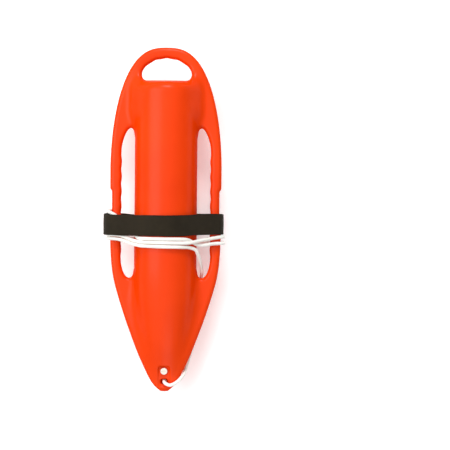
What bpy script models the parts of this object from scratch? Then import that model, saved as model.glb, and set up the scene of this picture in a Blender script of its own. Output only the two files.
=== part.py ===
"""Lifeguard rescue can: a hollow moulded float with its tow line and shoulder strap wound round it.

Metres, +Z up.  The can lies on its back: X is its width, +Y points to the rear handle, -Y to the nose.
The origin is on the floor, under the middle of the can's box.
"""
from math import acos, cos, pi, radians, sin, tau

import bmesh
import bpy
import numpy as np
from mathutils import Vector

# Driving dimensions
HALF_LENGTH = 0.375
HALF_WIDTH = 0.1218
WIDEST_Y = 0.107
TORSO_HALF_WIDTH = 0.0684
TORSO_HALF_DEPTH = 0.070
WALL = 0.004
GAP = 0.0003
PLATE_ROUND = 0.009
PLATE_HALF_DEPTH = 0.011
HANDLE_CENTRE = 0.1103
HANDLE_RADIUS = 0.0123
MID_Z = 0.0795

# Torso: a shoulder at the rear, then a taper into the nose
SHOULDER_Y = 0.268
SHOULDER_LENGTH = 0.032
SHOULDER_POWER = 3.5
SHOULDER_LAST_ANGLE = radians(84.0)
TAPER_Y = -0.110
TAPER_LENGTH = 0.265
CAVITY_TAPER_LENGTH = 0.240

# Side slots and rear opening
SLOT_INNER = 0.0684
SLOT_OUTER = 0.0981
SLOT_REAR_Y = 0.199
SLOT_FRONT_Y = -0.1296
FINGER_PITCH = 0.032
FINGER_DEPTH = 0.0012
REAR_HOLE_FLOOR_Y = 0.302
REAR_HOLE_TOP_Y = 0.352
REAR_HOLE_HALF_WIDTH = 0.0544
RECESS_DEPTH = 0.004
RECESS_REAR_Y = 0.063
RECESS_FRONT_Y = 0.010

# Nose pocket, vent and tow hole
POCKET_REAR_Y = -0.321
POCKET_FRONT_Y = -0.366
POCKET_HALF_WIDTH = 0.0125
POCKET_REAR_Z = 0.0185
POCKET_SLOPE = radians(12.0)
POCKET_CORNER = 0.0065
POCKET_CUT = 0.030
VENT_Y = -0.328
VENT_BORE_RADIUS = 0.0060
BUSH_RADIUS = 0.0057
BUSH_BORE_RADIUS = 0.0043
BUSH_LENGTH = 0.008
PLUG_SHANK_RADIUS = 0.0040
PLUG_SHANK_LENGTH = 0.0095
PLUG_HEAD_RADIUS = 0.0075
PLUG_HEAD_HEIGHT = 0.0032
SEAL_RADIUS = 0.0055
SEAL_WIRE_RADIUS = 0.0008
TOW_HOLE_Y = -0.3555
KNOT_TOP = -0.0132
TOW_HOLE_HALF_WIDTH = 0.0075
TOW_HOLE_HALF_LENGTH = 0.0052
TOW_HOLE_CORNER = 0.0048
VENT_SEAT_RISE = 0.0155
DRIVER_SLOT_HALF_LENGTH = 0.0050
DRIVER_SLOT_HALF_WIDTH = 0.0009
KNOT_RADIUS = 0.0098
KNOT_HEIGHT = 0.0175

# Line and strap
LINE_RADIUS = 0.0038
LINE_CLEARANCE = 0.0011
STRAP_WIDTH = 0.045
STRAP_THICKNESS = 0.0046
PATCH_THICKNESS = 0.0052
PATCH_HALF_ANGLE = radians(21.0)
RING_WIRE_RADIUS = 0.0025
RING_HALF_WIDTH = 0.0215
RING_REACH = 0.027
RING_FROM_BACK = 0.042
RING_LIFT = 0.0053
RING_Y = -0.0130
RING_TILT = radians(12.0)
KEEPER_WALL = 0.0020
KEEPER_CLEARANCE = 0.0004
KEEPER_HALF_WIDTH = 0.0150
HITCH_EYE_RADIUS = 0.0066
HITCH_EYE_WIRE = 0.0036
HITCH_KNOT_REACH = 0.0410
HITCH_KNOT_RADIUS = 0.0082

# Y of the strap's middle at the front, left handle, back, right handle and front again
STRAP_STOPS = (-0.0156, -0.0140, -0.0115, -0.0101, -0.0156)
LENGTHWISE = np.array([0.0, 1.0, 0.0])


# ---------------------------------------------------------------- helpers
def clear_scene():
    for item in list(bpy.data.objects):
        bpy.data.objects.remove(item)


def material(name, colour, roughness, metallic=0.0):
    made = bpy.data.materials.new(name)
    made.use_nodes = True
    shader = made.node_tree.nodes["Principled BSDF"]
    shader.inputs["Base Color"].default_value = (*colour, 1.0)
    shader.inputs["Roughness"].default_value = roughness
    shader.inputs["Metallic"].default_value = metallic
    return made


def add_object(name, data, finish=None, location=(0.0, 0.0, 0.0)):
    made = bpy.data.objects.new(name, data)
    made.location = location
    bpy.context.scene.collection.objects.link(made)
    if finish:
        data.materials.append(finish)
    return made


def mesh_from(name, points, faces, sharp_angle=35.0):
    mesh = bpy.data.meshes.new(name)
    mesh.from_pydata([tuple(p) for p in points], [], faces)
    tidy = bmesh.new()
    tidy.from_mesh(mesh)
    bmesh.ops.recalc_face_normals(tidy, faces=tidy.faces)
    tidy.to_mesh(mesh)
    tidy.free()
    mesh.shade_smooth()
    mesh.set_sharp_from_angle(angle=radians(sharp_angle))
    return mesh


def loft(name, rings, closed=False):
    """Skin a row of rings, each the same number of points; the ends are capped unless it closes."""
    count = len(rings[0])
    points = [p for ring in rings for p in ring]
    faces = []
    last = len(rings) if closed else len(rings) - 1
    for i in range(last):
        a = i * count
        b = ((i + 1) % len(rings)) * count
        for j in range(count):
            k = (j + 1) % count
            faces.append((a + j, a + k, b + k, b + j))
    if not closed:
        faces.append(tuple(range(count)))
        faces.append(tuple(range(a + count, a + 2 * count)))
    return mesh_from(name, points, faces)


def turned(name, profile, sides=32):
    """A body of revolution about Z from (radius, height) pairs; a radius of zero closes an end."""
    points = []
    faces = []
    rows = []
    for radius, height in profile:
        if radius == 0.0:
            rows.append([len(points)] * sides)
            points.append((0.0, 0.0, height))
            continue
        rows.append([len(points) + i for i in range(sides)])
        points += [(radius * cos(tau * i / sides), radius * sin(tau * i / sides), height) for i in range(sides)]
    pairs = list(zip(rows, rows[1:]))
    if profile[0][0] and profile[-1][0]:
        pairs.append((rows[-1], rows[0]))
    for low, high in pairs:
        for i in range(sides):
            j = (i + 1) % sides
            corners = [low[i], low[j], high[j], high[i]]
            faces.append(tuple(dict.fromkeys(corners)))
    return mesh_from(name, points, faces)


def cutter(name, mesh, location=(0.0, 0.0, 0.0), tilt_x=0.0):
    made = add_object(name, mesh, location=location)
    made.rotation_euler = (tilt_x, 0.0, 0.0)
    made.hide_render = True
    made.display_type = "WIRE"
    return made


def boolean(target, tool, operation):
    step = target.modifiers.new(tool.name, "BOOLEAN")
    step.object = tool
    step.operation = operation
    step.solver = "EXACT"


def bezier(start, start_handle, end_handle, end, count):
    """Points along one cubic curve, without its last point."""
    made = []
    for i in range(count):
        t = i / count
        u = 1.0 - t
        weights = (u ** 3, 3 * u * u * t, 3 * u * t * t, t ** 3)
        corners = (start, start_handle, end_handle, end)
        made.append(tuple(sum(w * c[k] for w, c in zip(weights, corners)) for k in range(2)))
    return made


def smooth_route(points, spacing):
    """Evenly spaced points on a centripetal spline through the route's own points."""
    points = [np.array(p, dtype=float) for p in points]
    points = [2 * points[0] - points[1]] + points + [2 * points[-1] - points[-2]]
    fine = []
    for p0, p1, p2, p3 in zip(points, points[1:], points[2:], points[3:]):
        t1 = np.linalg.norm(p1 - p0) ** 0.5
        t2 = t1 + np.linalg.norm(p2 - p1) ** 0.5
        t3 = t2 + np.linalg.norm(p3 - p2) ** 0.5
        for t in np.linspace(t1, t2, 24, endpoint=False):
            a1 = (t1 - t) / t1 * p0 + t / t1 * p1
            a2 = (t2 - t) / (t2 - t1) * p1 + (t - t1) / (t2 - t1) * p2
            a3 = (t3 - t) / (t3 - t2) * p2 + (t - t2) / (t3 - t2) * p3
            b1 = (t2 - t) / t2 * a1 + t / t2 * a2
            b2 = (t3 - t) / (t3 - t1) * a2 + (t - t1) / (t3 - t1) * a3
            fine.append((t2 - t) / (t2 - t1) * b1 + (t - t1) / (t2 - t1) * b2)
    fine.append(points[-2])
    fine = np.array(fine)
    travel = np.concatenate([[0.0], np.cumsum(np.linalg.norm(np.diff(fine, axis=0), axis=1))])
    count = int(round(travel[-1] / spacing)) + 1
    wanted = np.linspace(0.0, travel[-1], count)
    return np.stack([np.interp(wanted, travel, fine[:, k]) for k in range(3)], axis=1)


def tube(name, route, radius, finish=None, closed=False):
    """A round bar or line along a route, with flat ends unless it closes."""
    data = bpy.data.curves.new(name, "CURVE")
    data.dimensions = "3D"
    data.bevel_depth = radius
    data.bevel_resolution = 2
    data.use_fill_caps = not closed
    spline = data.splines.new("POLY")
    spline.use_cyclic_u = closed
    spline.points.add(len(route) - 1)
    for point, place in zip(spline.points, route):
        point.co = (*place, 1.0)
    return add_object(name, data, finish)


# ---------------------------------------------------------------- float shell
def outer_outline():
    """The can seen from above, anticlockwise from the rear tip, with a strap recess on each side."""
    right = []
    reach = HALF_LENGTH - WIDEST_Y
    for i in range(22):
        angle = 0.5 * pi * (1.0 - i / 22)
        rise = sin(angle)
        right.append((HALF_WIDTH * (1.0 - rise * rise) ** 0.375, WIDEST_Y + reach * rise))
    right.append((HALF_WIDTH, WIDEST_Y))
    inset = HALF_WIDTH - 0.0003 - RECESS_DEPTH
    right.append((HALF_WIDTH - 0.0003, RECESS_REAR_Y + RECESS_DEPTH))
    right.append((inset, RECESS_REAR_Y))
    right.append((inset, RECESS_FRONT_Y))
    right.append((HALF_WIDTH - 0.0003, RECESS_FRONT_Y - RECESS_DEPTH))
    right += bezier((0.1213, -0.030), (0.1205, -0.080), (0.1180, -0.118), (0.1085, -0.150), 6)
    right += bezier((0.1085, -0.150), (0.0970, -0.192), (0.0735, -0.262), (0.0488, -0.314), 9)
    right += bezier((0.0488, -0.314), (0.0365, -0.340), (0.0290, -HALF_LENGTH), (0.0, -HALF_LENGTH), 9)
    left = [(-x, y) for x, y in reversed(right[1:])]
    return right + [(0.0, -HALF_LENGTH)] + left


def side_slot(side):
    """A pointed slot whose outer edge has shallow finger waves."""
    edge = [(SLOT_INNER, SLOT_FRONT_Y + 0.040), (SLOT_INNER, SLOT_REAR_Y - 0.030)]
    edge += bezier(edge[1], (SLOT_INNER, SLOT_REAR_Y - 0.008), (0.0715, SLOT_REAR_Y), (0.0770, SLOT_REAR_Y), 6)
    edge += bezier((0.0770, SLOT_REAR_Y), (0.0850, SLOT_REAR_Y), (0.0975, 0.172), (0.0980, 0.148), 7)
    waves = 7
    top = 0.140
    for i in range(waves * 6 + 1):
        y = top - FINGER_PITCH * i / 6
        edge.append((SLOT_OUTER - FINGER_DEPTH * 0.5 * (1.0 - cos(tau * i / 6)), y))
    edge += bezier((0.0975, -0.092), (0.0965, -0.108), (0.0900, SLOT_FRONT_Y), (0.0800, SLOT_FRONT_Y), 7)
    edge += bezier((0.0800, SLOT_FRONT_Y), (0.0735, SLOT_FRONT_Y), (SLOT_INNER, -0.118), edge[0], 6)
    return [(side * x, y) for x, y in edge]


def rear_hole():
    """A half-moon hand hole with a flat floor."""
    half = bezier((0.0, REAR_HOLE_FLOOR_Y), (0.020, REAR_HOLE_FLOOR_Y), (0.030, REAR_HOLE_FLOOR_Y),
                  (0.042, REAR_HOLE_FLOOR_Y), 2)
    half += bezier((0.042, REAR_HOLE_FLOOR_Y), (0.0500, REAR_HOLE_FLOOR_Y), (REAR_HOLE_HALF_WIDTH, 0.308),
                   (REAR_HOLE_HALF_WIDTH, 0.317), 5)
    half += bezier((REAR_HOLE_HALF_WIDTH, 0.317), (REAR_HOLE_HALF_WIDTH, 0.330), (0.034, REAR_HOLE_TOP_Y),
                   (0.0, REAR_HOLE_TOP_Y), 9)
    left = [(-x, y) for x, y in reversed(half[1:])]
    return half + [(0.0, REAR_HOLE_TOP_Y)] + left


def plate(name, loops, half_depth, edge_round):
    """A flat board with rounded edges, drawn as a filled curve: the first loop is outside."""
    data = bpy.data.curves.new(name, "CURVE")
    data.dimensions = "2D"
    data.fill_mode = "BOTH"
    data.extrude = half_depth - edge_round
    data.bevel_depth = edge_round
    data.bevel_resolution = 1
    data.offset = -edge_round
    for loop in loops:
        spline = data.splines.new("POLY")
        spline.points.add(len(loop) - 1)
        spline.use_cyclic_u = True
        for point, (x, y) in zip(spline.points, loop):
            point.co = (x, y, 0.0, 1.0)
    drawn = add_object(name + "_drawing", data)
    bpy.context.view_layer.update()
    seen = drawn.evaluated_get(bpy.context.evaluated_depsgraph_get())
    mesh = bpy.data.meshes.new_from_object(seen)
    bpy.data.objects.remove(drawn)
    tidy = bmesh.new()
    tidy.from_mesh(mesh)
    bmesh.ops.remove_doubles(tidy, verts=tidy.verts, dist=0.00002)
    bmesh.ops.recalc_face_normals(tidy, faces=tidy.faces)
    tidy.to_mesh(mesh)
    tidy.free()
    return mesh


def torso_size(y, taper_length, inset):
    """Half-width and half-depth of the round body at one place along the can."""
    width = TORSO_HALF_WIDTH - inset
    depth = TORSO_HALF_DEPTH - inset
    if y > SHOULDER_Y:
        past = (y - SHOULDER_Y) / (SHOULDER_LENGTH - inset)
        cap = (1.0 - past ** SHOULDER_POWER) ** (1.0 / SHOULDER_POWER)
        return width * cap, depth * cap
    if y < TAPER_Y:
        along = (TAPER_Y - y) / taper_length
        return width * (1.0 - along ** 2.0) ** 0.7, depth * (1.0 - along ** 1.6) ** 0.85
    return width, depth


def torso(name, taper_length, inset, sides, steps):
    rings = []
    angles = [SHOULDER_LAST_ANGLE * (1.0 - i / 7) for i in range(7)]
    shoulder = [SHOULDER_Y + (SHOULDER_LENGTH - inset) * sin(a) ** (2.0 / SHOULDER_POWER) for a in angles]
    nose = [TAPER_Y - taper_length * 0.985 * (i / steps) for i in range(steps + 1)]
    for y in shoulder + [SHOULDER_Y, 0.5 * (SHOULDER_Y + TAPER_Y)] + nose:
        width, depth = torso_size(y, taper_length, inset)
        rings.append([(width * cos(tau * i / sides), y, depth * sin(tau * i / sides)) for i in range(sides)])
    return loft(name, rings)


def pocket_floor(y):
    """Height of the nose pocket's sloping floor over the can's middle plane."""
    return POCKET_REAR_Z - (POCKET_REAR_Y - y) * np.tan(POCKET_SLOPE)


def rounded_prism(name, half_width, half_length, corner, height, per_corner=5):
    ring = []
    for sx, sy, start in ((1, 1, 0.0), (-1, 1, 0.5 * pi), (-1, -1, pi), (1, -1, 1.5 * pi)):
        for i in range(per_corner + 1):
            angle = start + 0.5 * pi * i / per_corner
            ring.append((sx * (half_width - corner) + corner * cos(angle),
                         sy * (half_length - corner) + corner * sin(angle)))
    return loft(name, [[(x, y, z) for x, y in ring] for z in (0.0, height)])


def float_shell(finish):
    loops = [outer_outline(), side_slot(1), side_slot(-1), rear_hole()]
    board = plate("shell_board", loops, PLATE_HALF_DEPTH, PLATE_ROUND)
    shell = add_object("float_shell", board, finish, (0.0, 0.0, MID_Z))
    middle = (0.0, 0.0, MID_Z)
    body = cutter("torso_body", torso("torso_body", TAPER_LENGTH, 0.0, 40, 14), middle)
    boolean(shell, body, "UNION")
    hollow = cutter("torso_hollow", torso("torso_hollow", CAVITY_TAPER_LENGTH, WALL, 24, 8), middle)
    boolean(shell, hollow, "DIFFERENCE")
    centre_y = 0.5 * (POCKET_REAR_Y + POCKET_FRONT_Y)
    half_length = 0.5 * (POCKET_REAR_Y - POCKET_FRONT_Y) / cos(POCKET_SLOPE)
    pocket = rounded_prism("nose_pocket", POCKET_HALF_WIDTH, half_length, POCKET_CORNER, POCKET_CUT)
    front = cutter("nose_pocket", pocket, (0.0, centre_y, MID_Z + pocket_floor(centre_y)), POCKET_SLOPE)
    boolean(shell, front, "DIFFERENCE")
    back = cutter("knot_pocket", pocket, (0.0, centre_y, MID_Z - pocket_floor(centre_y)), pi - POCKET_SLOPE)
    boolean(shell, back, "DIFFERENCE")
    bore = turned("vent_bore", [(0.0, 0.0), (VENT_BORE_RADIUS, 0.0),
                                (VENT_BORE_RADIUS, POCKET_CUT), (0.0, POCKET_CUT)])
    boolean(shell, cutter("vent_bore", bore, (0.0, VENT_Y, MID_Z), POCKET_SLOPE), "DIFFERENCE")
    hole = rounded_prism("tow_hole", TOW_HOLE_HALF_WIDTH, TOW_HOLE_HALF_LENGTH, TOW_HOLE_CORNER, 2 * POCKET_CUT)
    boolean(shell, cutter("tow_hole", hole, (0.0, TOW_HOLE_Y, MID_Z - POCKET_CUT)), "DIFFERENCE")
    return shell


# ---------------------------------------------------------------- vent
def vent_parts(finishes):
    """A bush in the nose wall, and a slotted plug that screws into it over a rubber ring."""
    axis = Vector((0.0, -sin(POCKET_SLOPE), cos(POCKET_SLOPE)))
    seat = Vector((0.0, VENT_Y - VENT_SEAT_RISE * sin(POCKET_SLOPE), 0.0))
    seat.z = MID_Z + pocket_floor(seat.y)
    bush = turned("vent_bush", [(BUSH_BORE_RADIUS, -BUSH_LENGTH), (BUSH_RADIUS, -BUSH_LENGTH),
                                (BUSH_RADIUS, -GAP), (BUSH_BORE_RADIUS, -GAP)])
    ring_height = 2 * SEAL_WIRE_RADIUS
    centre = SEAL_WIRE_RADIUS
    seal_profile = [(SEAL_RADIUS + SEAL_WIRE_RADIUS * cos(tau * i / 8), centre + SEAL_WIRE_RADIUS * sin(tau * i / 8))
                    for i in range(8)]
    seal = turned("plug_seal", seal_profile, 20)
    under = ring_height + GAP
    head = PLUG_HEAD_HEIGHT
    plug = turned("vent_plug", [(0.0, under - PLUG_SHANK_LENGTH), (PLUG_SHANK_RADIUS, under - PLUG_SHANK_LENGTH),
                                (PLUG_SHANK_RADIUS, under), (PLUG_HEAD_RADIUS, under),
                                (PLUG_HEAD_RADIUS, under + 0.6 * head), (0.8 * PLUG_HEAD_RADIUS, under + 0.92 * head),
                                (0.0, under + head)])
    made = []
    for name, mesh, finish in (("vent_bush", bush, finishes["bush"]), ("plug_seal", seal, finishes["seal"]),
                               ("vent_plug", plug, finishes["plug"])):
        item = add_object(name, mesh, finish, seat)
        item.rotation_euler = (POCKET_SLOPE, 0.0, 0.0)
        made.append(item)
    slot = rounded_prism("driver_slot", DRIVER_SLOT_HALF_LENGTH, DRIVER_SLOT_HALF_WIDTH, 0.0004, 0.010, 2)
    place = seat + axis * (under + 0.55 * head)
    boolean(made[2], cutter("driver_slot", slot, place, POCKET_SLOPE), "DIFFERENCE")
    return made


# ---------------------------------------------------------------- what is wound round the can
class Wrap:
    """The taut loop round the torso and both side handles, at some distance outside them.

    Travel starts at the middle of the front and runs left, round the back and up the right side.
    """

    def __init__(self, torso_offset, left_offset, right_offset):
        self.torso = TORSO_HALF_DEPTH + torso_offset
        self.handles = (HANDLE_RADIUS + left_offset, HANDLE_RADIUS + right_offset)
        self.leans = [acos((self.torso - handle) / HANDLE_CENTRE) for handle in self.handles]
        self.quarters = [self.torso * (0.5 * pi - lean) + HANDLE_CENTRE * sin(lean) + handle * lean
                         for lean, handle in zip(self.leans, self.handles)]
        self.length = 2 * sum(self.quarters)

    def quadrant(self, side, along):
        """Place and outward normal in one quarter, measured from the torso's middle."""
        lean = self.leans[side]
        handle = self.handles[side]
        arc = self.torso * (0.5 * pi - lean)
        straight = HANDLE_CENTRE * sin(lean)
        if along < arc:
            angle = 0.5 * pi - along / self.torso
            return self.torso * cos(angle), self.torso * sin(angle), angle
        if along < arc + straight:
            run = along - arc
            return (self.torso * cos(lean) + run * sin(lean), self.torso * sin(lean) - run * cos(lean), lean)
        angle = lean - (along - arc - straight) / handle
        return HANDLE_CENTRE + handle * cos(angle), handle * sin(angle), angle

    def place(self, travel, y, lift=0.0):
        left, right = self.quarters
        travel = travel % self.length
        if travel < 2 * left:
            side, across, along = 0, -1.0, travel
        else:
            side, across, along = 1, 1.0, self.length - travel
        quarter = self.quarters[side]
        up = 1.0 if along < quarter else -1.0
        x, z, angle = self.quadrant(side, min(along, 2 * quarter - along))
        return np.array([across * (x + lift * cos(angle)), y, MID_Z + up * (z + lift * sin(angle))])


LINE_WRAP = Wrap(LINE_RADIUS + LINE_CLEARANCE, LINE_RADIUS + LINE_CLEARANCE, LINE_RADIUS + LINE_CLEARANCE)
STRAP_OVER_LINE = 2 * LINE_RADIUS + LINE_CLEARANCE + GAP
STRAP_WRAP = Wrap(GAP, STRAP_OVER_LINE, GAP)
STRAP_OUTSIDE = Wrap(GAP + STRAP_THICKNESS, STRAP_OVER_LINE + STRAP_THICKNESS, GAP + STRAP_THICKNESS)

# The line, from its stopper knot up through the tow hole, over the nose's right edge and behind it,
# then forward through the front end of the right slot.  Heights are from the middle plane.
NOSE_ROUTE = (
    (0.0, TOW_HOLE_Y, KNOT_TOP + GAP), (0.0, TOW_HOLE_Y, 0.0), (0.0005, -0.3558, 0.0105), (0.0045, -0.3592, 0.0170),
    (0.0130, -0.3622, 0.0172), (0.0226, -0.3593, 0.0148), (0.0305, -0.3540, 0.0124), (0.0382, -0.3458, 0.0092),
    (0.0436, -0.3382, 0.0), (0.0462, -0.3300, -0.0086), (0.0482, -0.3230, -0.0114), (0.0526, -0.3093, -0.0134),
    (0.0574, -0.2917, -0.0155), (0.0618, -0.2725, -0.0174), (0.0668, -0.2480, -0.0190), (0.0706, -0.2150, -0.0195),
    (0.0730, -0.1800, -0.0185), (0.0755, -0.1550, -0.0175), (0.0780, -0.1400, -0.0165), (0.0795, -0.1240, -0.0110),
    (0.0800, -0.1120, 0.0010), (0.0780, -0.1000, 0.0140), (0.0755, -0.0870, 0.0260), (0.0715, -0.0755, 0.0370),
    (0.0675, -0.0670, 0.0440),
)
# The windings as travel, y and lift off the taut loop: three strands cross the front
FIRST_STRAND = (
    (-0.056, -0.0612, 0.0), (-0.030, -0.0606, 0.0), (0.0, -0.0602, 0.0), (0.035, -0.0592, 0.0),
    (0.054, -0.0584, 0.0), (0.073, -0.0555, 0.0), (0.092, -0.0508, 0.0), (0.109, -0.0458, 0.0),
    (0.135, -0.0436, 0.0), (0.152, -0.0434, 0.0), (0.169, -0.0437, 0.0), (0.200, -0.0475, 0.0),
    (0.230, -0.0523, 0.0), (0.262, -0.0530, 0.0), (0.304, -0.0532, 0.0), (0.345, -0.0532, 0.0),
    (0.369, -0.0527, 0.0), (0.381, -0.0508, 0.0), (0.399, -0.0462, 0.0), (0.417, -0.0415, 0.0),
    (0.438, -0.0384, 0.0), (0.455, -0.0382, 0.0), (0.472, -0.0386, 0.0), (0.494, -0.0415, 0.0),
    (0.510, -0.0440, 0.0008), (0.527, -0.0465, 0.0026), (0.541, -0.0492, 0.0046), (0.549, -0.0506, 0.0052),
    (0.557, -0.0514, 0.0049), (0.566, -0.0519, 0.0032), (0.580, -0.0519, 0.0009),
)
SECOND_STRAND = (
    (0.0, -0.0518, 0.0), (0.035, -0.0513, 0.0), (0.054, -0.0506, 0.0), (0.073, -0.0476, 0.0),
    (0.090, -0.0430, -0.0006), (0.101, -0.0398, -0.0034), (0.114, -0.0368, -0.0030), (0.135, -0.0355, -0.0008),
    (0.152, -0.0354, -0.0004), (0.169, -0.0356, -0.0008), (0.185, -0.0366, -0.0026), (0.200, -0.0396, -0.0028),
    (0.213, -0.0426, -0.0010), (0.230, -0.0445, 0.0), (0.262, -0.0450, 0.0), (0.304, -0.0452, 0.0),
    (0.345, -0.0452, 0.0), (0.361, -0.0450, -0.0014), (0.371, -0.0454, -0.0044), (0.381, -0.0466, -0.0078),
    (0.393, -0.0488, -0.0084), (0.407, -0.0507, -0.0074), (0.421, -0.0518, -0.0032), (0.438, -0.0520, 0.0),
    (0.455, -0.0521, 0.0), (0.472, -0.0525, 0.0), (0.494, -0.0535, 0.0), (0.510, -0.0556, -0.0008),
    (0.525, -0.0566, -0.0030), (0.534, -0.0545, -0.0048), (0.541, -0.0512, -0.0046), (0.548, -0.0477, -0.0028),
    (0.556, -0.0452, -0.0008), (0.566, -0.0440, 0.0), (0.580, -0.0437, 0.0),
)
THIRD_STRAND = (
    (0.0, -0.0437, 0.0), (0.035, -0.0433, 0.0), (0.053, -0.0429, -0.0002), (0.061, -0.0423, -0.0026),
    (0.069, -0.0400, -0.0062), (0.081, -0.0290, -0.0064), (0.100, -0.0120, -0.0044), (0.120, 0.0040, -0.0026),
    (0.136, 0.0125, -0.0008), (0.152, 0.0160, -0.0002), (0.168, 0.0172, 0.0004),
)
# The last stretch climbs over the strap's edge to the hitch, as distance from the back's middle
LAST_STRETCH = ((0.1240, 0.0160, 0.0000), (0.1130, 0.0100, 0.0046), (0.1020, 0.0020, 0.0062))


def line_stations():
    """The windings' stations with travel counted on through the turns."""
    made = [list(p) for p in FIRST_STRAND]
    made += [[travel + LINE_WRAP.length, y, lift] for travel, y, lift in SECOND_STRAND]
    made += [[travel + 2 * LINE_WRAP.length, y, lift] for travel, y, lift in THIRD_STRAND]
    return made


def ring_frame():
    """The ring's bar centre, the way the ring reaches out from it, and the way off the strap."""
    travel = 2 * STRAP_OUTSIDE.quarters[0] - RING_FROM_BACK
    bar = STRAP_OUTSIDE.place(travel, RING_Y, RING_LIFT)
    lean = STRAP_OUTSIDE.leans[0]
    along = np.array([-sin(lean), 0.0, cos(lean)])
    off = np.array([-cos(lean), 0.0, -sin(lean)])
    out = cos(RING_TILT) * along + sin(RING_TILT) * off
    away = cos(RING_TILT) * off - sin(RING_TILT) * along
    return bar, out, away


def line_route():
    """A finely spaced smooth route for the whole line, hitch end last."""
    nose = [(x, y, MID_Z + z) for x, y, z in NOSE_ROUTE]
    stations = smooth_route(line_stations(), 0.005)
    wound = [LINE_WRAP.place(*station) for station in stations]
    bar, out, _ = ring_frame()
    back = 2 * STRAP_OUTSIDE.quarters[0]
    last = [STRAP_OUTSIDE.place(back - distance, y, LINE_RADIUS + lift) for distance, y, lift in LAST_STRETCH]
    knot_end = bar + out * (HITCH_KNOT_REACH + HITCH_KNOT_RADIUS + 0.0004)
    last += [knot_end + out * 0.006, knot_end]
    return smooth_route(nose + wound[::2] + last, 0.0015)


def thinned(route, bend, longest):
    """Fewer points on the same route: chords stay within bend of it and under longest."""
    kept = [0]
    while kept[-1] < len(route) - 1:
        start = kept[-1]
        best = start + 1
        for end in range(start + 2, len(route)):
            chord = route[end] - route[start]
            reach = np.linalg.norm(chord)
            between = route[start + 1:end] - route[start]
            off = np.linalg.norm(np.cross(between, chord / reach), axis=1).max()
            if off > bend or reach > longest:
                break
            best = end
        kept.append(best)
    return route[kept]


def tow_line(finish):
    return tube("tow_line", thinned(line_route(), 0.0010, 0.032), LINE_RADIUS, finish)


def stopper_knot(finish):
    """The knot that holds the line behind the nose: a squat round body with a flat top."""
    profile = [(0.0, KNOT_TOP), (0.55 * KNOT_RADIUS, KNOT_TOP)]
    profile += [(KNOT_RADIUS * (1.0 - (2 * t - 1.0) ** 2) ** 0.5, KNOT_TOP - KNOT_HEIGHT * t)
                for t in (0.12, 0.25, 0.40, 0.60, 0.75, 0.88)]
    profile += [(0.30 * KNOT_RADIUS, KNOT_TOP - KNOT_HEIGHT), (0.0, KNOT_TOP - KNOT_HEIGHT)]
    return add_object("stopper_knot", turned("stopper_knot", profile, 24), finish, (0.0, TOW_HOLE_Y, MID_Z))


def strap_middle(turn):
    """Y of the strap's middle by quarter turns from the front: 1 is the left handle, 2 the back."""
    index = min(int(turn), 3)
    blend = 0.5 - 0.5 * cos(pi * (turn - index))
    return STRAP_STOPS[index] * (1.0 - blend) + STRAP_STOPS[index + 1] * blend


def strap_turns():
    """Places round the loop, as quarter turns, closer together where it bends."""
    made = []
    for quarter in range(4):
        side = 0 if quarter < 2 else 1
        lean = STRAP_WRAP.leans[side]
        whole = STRAP_WRAP.quarters[side]
        arc = STRAP_WRAP.torso * (0.5 * pi - lean)
        bend = STRAP_WRAP.handles[side] * lean
        marks = [arc * i / 5 for i in range(5)]
        marks += [arc + (whole - arc - bend) * i / 4 for i in range(4)]
        marks += [whole - bend + bend * i / 6 for i in range(6)]
        shares = [mark / whole for mark in marks]
        if quarter % 2:
            shares = [0.0] + [1.0 - share for share in reversed(shares[1:])]
        made += [quarter + share for share in shares]
    return made


def strap_band(name, turns, inner, outer, half_width, closed):
    rings = []
    for turn in turns:
        side = 0 if turn < 2 else 1
        quarter = STRAP_WRAP.quarters[side]
        travel = turn * quarter if side == 0 else STRAP_WRAP.length - (4.0 - turn) * quarter
        middle = strap_middle(turn)
        rings.append([STRAP_WRAP.place(travel, middle + across, lift)
                      for across, lift in ((-half_width, inner), (half_width, inner),
                                           (half_width, outer), (-half_width, outer))])
    return loft(name, rings, closed)


def shoulder_strap(finish):
    mesh = strap_band("shoulder_strap", strap_turns(), 0.0, STRAP_THICKNESS, 0.5 * STRAP_WIDTH, True)
    return add_object("shoulder_strap", mesh, finish)


def strap_joint(finish):
    """The sewn overlap that closes the strap, flat underneath where the can lies on it."""
    reach = STRAP_WRAP.torso * PATCH_HALF_ANGLE
    left, right = STRAP_WRAP.quarters
    steps = 14
    marks = [-reach + 2 * reach * i / steps for i in range(steps + 1)]
    turns = [2.0 + mark / (left if mark < 0 else right) for mark in marks]
    inner = STRAP_THICKNESS + GAP
    mesh = strap_band("strap_joint", turns, inner, inner + PATCH_THICKNESS, 0.5 * STRAP_WIDTH - 0.0008, False)
    patch = add_object("strap_joint", mesh, finish)
    below = cutter("floor_cut", rounded_prism("floor_cut", 0.060, 0.060, 0.010, 0.020, 2), (0.0, 0.0, -0.020))
    boolean(patch, below, "DIFFERENCE")
    return patch


def strap_ring(finish):
    """A welded D: a straight bar in the strap's keeper and a round bow."""
    bar, out, _ = ring_frame()
    corners = [(0.0, -0.75 * RING_HALF_WIDTH), (0.0, 0.75 * RING_HALF_WIDTH)]
    bow = [(0.004 + (RING_REACH - 0.004) * sin(pi * i / 16), RING_HALF_WIDTH * cos(pi * i / 16)) for i in range(17)]
    ring = tube("strap_ring", [out * u + LENGTHWISE * v for u, v in corners + bow], RING_WIRE_RADIUS, finish, True)
    ring.location = tuple(bar)
    return ring


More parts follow.
